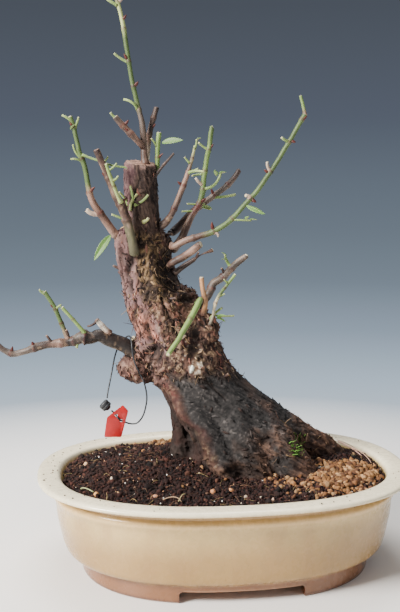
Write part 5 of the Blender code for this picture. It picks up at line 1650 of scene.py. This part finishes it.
def make_blank_tag(material):
    """A tag with nothing on it and two punched holes."""
    bm = bmesh.new()
    corners = [bm.verts.new((u * MM, -TAG_THICKNESS / 2 * MM, z * MM)) for u, z in TAG_OUTLINE]
    face = bm.faces.new(corners)
    solid = bmesh.ops.extrude_face_region(bm, geom=[face])
    lifted = [v for v in solid["geom"] if isinstance(v, bmesh.types.BMVert)]
    bmesh.ops.translate(bm, vec=(0, TAG_THICKNESS * MM, 0), verts=lifted)
    bmesh.ops.recalc_face_normals(bm, faces=bm.faces)
    corners = [e for e in bm.edges if abs(e.verts[0].co.y - e.verts[1].co.y) > 0.1 * MM]
    bmesh.ops.bevel(bm, geom=corners, offset=0.8 * MM, segments=4, affect="EDGES", profile=0.5)
    piece = temporary("tag_blank", bm)
    turn = Matrix.Rotation(math.pi / 2, 4, "X")
    for u, z in TAG_HOLES:
        piece = cut(piece, round_cutter(Vector((u, 0, z)) * MM, TAG_HOLE_RADIUS, 10, 24, turn))
    rounding = piece.modifiers.new("bevel", "BEVEL")
    rounding.width = 0.18 * MM
    rounding.segments = 2
    rounding.limit_method = "ANGLE"
    rounding.angle_limit = math.radians(50)
    mesh = evaluated_mesh(piece)
    set_vertices(mesh, tree(vertices_of(mesh) / MM + (0, TAG_DEPTH, 0)))
    tag = add_piece("blank_tag", mesh, material, ["tag"], smooth=False)
    mesh.set_sharp_from_angle(angle=math.radians(60))
    return tag


def make_bead(material):
    """The bead, turned about the long way of its solid."""
    co = vertices_of(NODES["tag_bead"].data)
    middle = co.mean(0)
    way = unit(np.linalg.svd(co - middle)[2][0])
    if way[2] < 0:
        way = -way
    reach = ((co - middle) @ way)
    radius = np.linalg.norm((co - middle) - np.outer(reach, way), axis=1).max()
    route = [middle + way * (reach.min() + (reach.max() - reach.min()) * share) for share, _ in BEAD_PROFILE]
    vertices, faces = sweep(route, [radius * size for _, size in BEAD_PROFILE], 24)
    heap = Heap()
    heap.add(vertices, faces, (0.03, 0.03, 0.035))
    return heap.piece("cord_bead", material, "black_plastic", ["tag_bead"])


def make_string(material, bead):
    """The string, which hangs from the left limb with its bead and its tag."""
    route = tree(smooth_route(STRING_ROUTE, 1.2))
    curve = bpy.data.curves.new("string", "CURVE")
    curve.dimensions = "3D"
    curve.bevel_depth = STRING_RADIUS * MM
    curve.bevel_resolution = 3
    curve.use_fill_caps = True
    spline = curve.splines.new("POLY")
    spline.points.add(len(route) - 1)
    for point, place in zip(spline.points, route):
        point.co = (*place, 1.0)
    spline.use_smooth = True
    string = bpy.data.objects.new("string", curve)
    curve.materials.append(material)
    bpy.context.scene.collection.objects.link(string)
    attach(string, "root")
    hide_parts("tag_string")


# Light and floor

FLOOR_RADIUS = 1.1
FLOOR_FADE = (0.24, 0.52)      # the floor gives way to the backdrop between these distances
BACKDROP = [                   # height of the direction (-1 straight down, 1 straight up) and colour
    (-1.0, (0.85, 0.85, 0.85)),
    (-0.30, (0.92, 0.94, 0.98)),
    (-0.254, (0.76, 0.84, 0.93)),
    (-0.235, (0.66, 0.76, 0.87)),
    (-0.206, (0.52, 0.65, 0.78)),
    (-0.157, (0.31, 0.39, 0.49)),
    (-0.108, (0.191, 0.242, 0.301)),
    (-0.058, (0.153, 0.191, 0.238)),
    (-0.009, (0.130, 0.162, 0.205)),
    (0.05, (0.098, 0.117, 0.156)),
    (0.16, (0.076, 0.088, 0.112)),
    (0.34, (0.070, 0.080, 0.100)),
    (0.55, (0.26, 0.28, 0.30)),
    (1.0, (0.40, 0.42, 0.45)),
]


def area_light(name, place, size, power, colour, aim=(0, 0, 0.15)):
    data = bpy.data.lights.new(name, "AREA")
    data.shape = "DISK"
    data.size = size
    data.energy = power
    data.color = colour
    light = bpy.data.objects.new(name, data)
    light.location = place
    light.rotation_euler = (Vector(aim) - Vector(place)).to_track_quat("-Z", "Y").to_euler()
    bpy.context.scene.collection.objects.link(light)


def make_stage():
    bm = bmesh.new()
    bmesh.ops.create_circle(bm, cap_ends=True, segments=96, radius=FLOOR_RADIUS)
    floor = temporary("floor", bm)
    nodes = Nodes("pale_floor")
    length = nodes.add("ShaderNodeVectorMath", {0: nodes.place}, operation="LENGTH").outputs["Value"]
    fade = nodes.spread(length, *FLOOR_FADE, 0, 1)
    fade = nodes.add("ShaderNodeMath", {0: fade, 1: 1.5}, operation="POWER").outputs[0]
    nodes.link(nodes.mix((0.93, 0.90, 0.87, 1), (0.84, 0.86, 0.88, 1), fade), "Base Color")
    nodes.set(Roughness=0.5)
    clear = nodes.add("ShaderNodeBsdfTransparent")
    mixed = nodes.add("ShaderNodeMixShader", {0: fade, 1: nodes.shader.outputs[0], 2: clear.outputs[0]})
    nodes.tree.links.new(mixed.outputs[0], nodes.tree.nodes["Material Output"].inputs["Surface"])
    floor.data.materials.append(nodes.material)

    world = bpy.data.worlds.new("studio")
    bpy.context.scene.world = world
    world.use_nodes = True
    links, kinds = world.node_tree.links, world.node_tree.nodes
    place = kinds.new("ShaderNodeTexCoord")
    split = kinds.new("ShaderNodeSeparateXYZ")
    share = kinds.new("ShaderNodeMapRange")
    share.inputs["From Min"].default_value = -1.0
    fade = kinds.new("ShaderNodeValToRGB")
    links.new(place.outputs["Generated"], split.inputs[0])
    links.new(split.outputs["Z"], share.inputs["Value"])
    links.new(share.outputs[0], fade.inputs["Fac"])
    links.new(fade.outputs["Color"], kinds["Background"].inputs["Color"])
    stops = fade.color_ramp.elements
    while len(stops) < len(BACKDROP):
        stops.new(0.5)
    for stop, (height, colour) in zip(stops, BACKDROP):
        stop.position = (height + 1) / 2
        stop.color = (*colour, 1)

    area_light("key", (-1.25, -0.60, 0.98), 0.65, 84, (1.0, 0.975, 0.93))
    area_light("fill", (1.1, -1.1, 0.6), 1.2, 3, (0.95, 0.97, 1.0))
    area_light("top", (0.0, 0.45, 1.3), 0.9, 16, (1.0, 0.99, 0.97))


make_camera()
make_stage()

GLAZE_MATERIAL = glaze_material()
BARK = tinted_material("bark", 9, 0.9, 0.22, (0.65, 0.95), 0.5, Specular_IOR_Level=0.35)
STEM_SKIN = tinted_material("stem_skin", 5, 0.8, 0.10, (0.42, 0.62), 0.12, Specular_IOR_Level=0.4)
LEAF_SKIN = tinted_material("leaf_skin", 3, 0.6, 0.12, (0.4, 0.6), 0.1, Subsurface_Weight=0.05)
SOIL_GRAIN = tinted_material("soil_grain", 5, 0.6, 0.25, (0.75, 1.0), 0.4, Specular_IOR_Level=0.3)
CLAY_GRAIN = tinted_material("clay_grain", 3, 0.5, 0.15, (0.8, 1.0), 0.3, Specular_IOR_Level=0.25)
RED = plain_material("red_plastic", (0.46, 0.012, 0.012), (0.36, 0.010, 0.010), 6, (0.28, 0.42), 0.15,
                     Coat_Weight=0.2)
BLACK = plain_material("black_plastic", (0.018, 0.019, 0.022), (0.035, 0.036, 0.04), 1.2, (0.35, 0.55), 0.1)
SCREEN = plain_material("screen_plastic", (0.02, 0.02, 0.022), (0.035, 0.035, 0.035), 2, (0.5, 0.7), 0.1)
WIRE = plain_material("dull_wire", (0.55, 0.53, 0.50), (0.40, 0.38, 0.36), 1.5, (0.35, 0.55), 0.05,
                      Metallic=1.0)

TAG = make_blank_tag(RED)
make_string(BLACK, make_bead(BLACK))
make_pot(GLAZE_MATERIAL)
TRUNK = make_trunk(BARK)
make_loose_bark(TRUNK, BARK)
LINES = {name: make_stem(name, STEM_SKIN, 7 * k + 3) for k, name in enumerate(STEMS)}
make_small_growth(LINES, STEM_SKIN, LEAF_SKIN)
for leaf, host in (("leaf_shoulder", "shoot_left"), ("leaf_top", "top_shoot_short"),
                   ("leaf_right", "shoot_right")):
    make_leaf(leaf, solid_tree(host), LEAF_SKIN)
make_soil(SOIL_GRAIN)
GROUND = Ground()
make_crumbs(GROUND, SOIL_GRAIN)
make_clay_granules(GROUND, CLAY_GRAIN)
make_litter(GROUND, CLAY_GRAIN)
make_plants_on_soil(GROUND, STEM_SKIN, LEAF_SKIN)
make_dirt_on_rim(SOIL_GRAIN)

KEPT = {"drainage_mesh_left": SCREEN, "drainage_mesh_right": SCREEN, "mesh_wire_left": WIRE,
        "mesh_wire_right": WIRE}
for node, material in KEPT.items():
    NODES[node].data.materials.clear()
    NODES[node].data.materials.append(material)
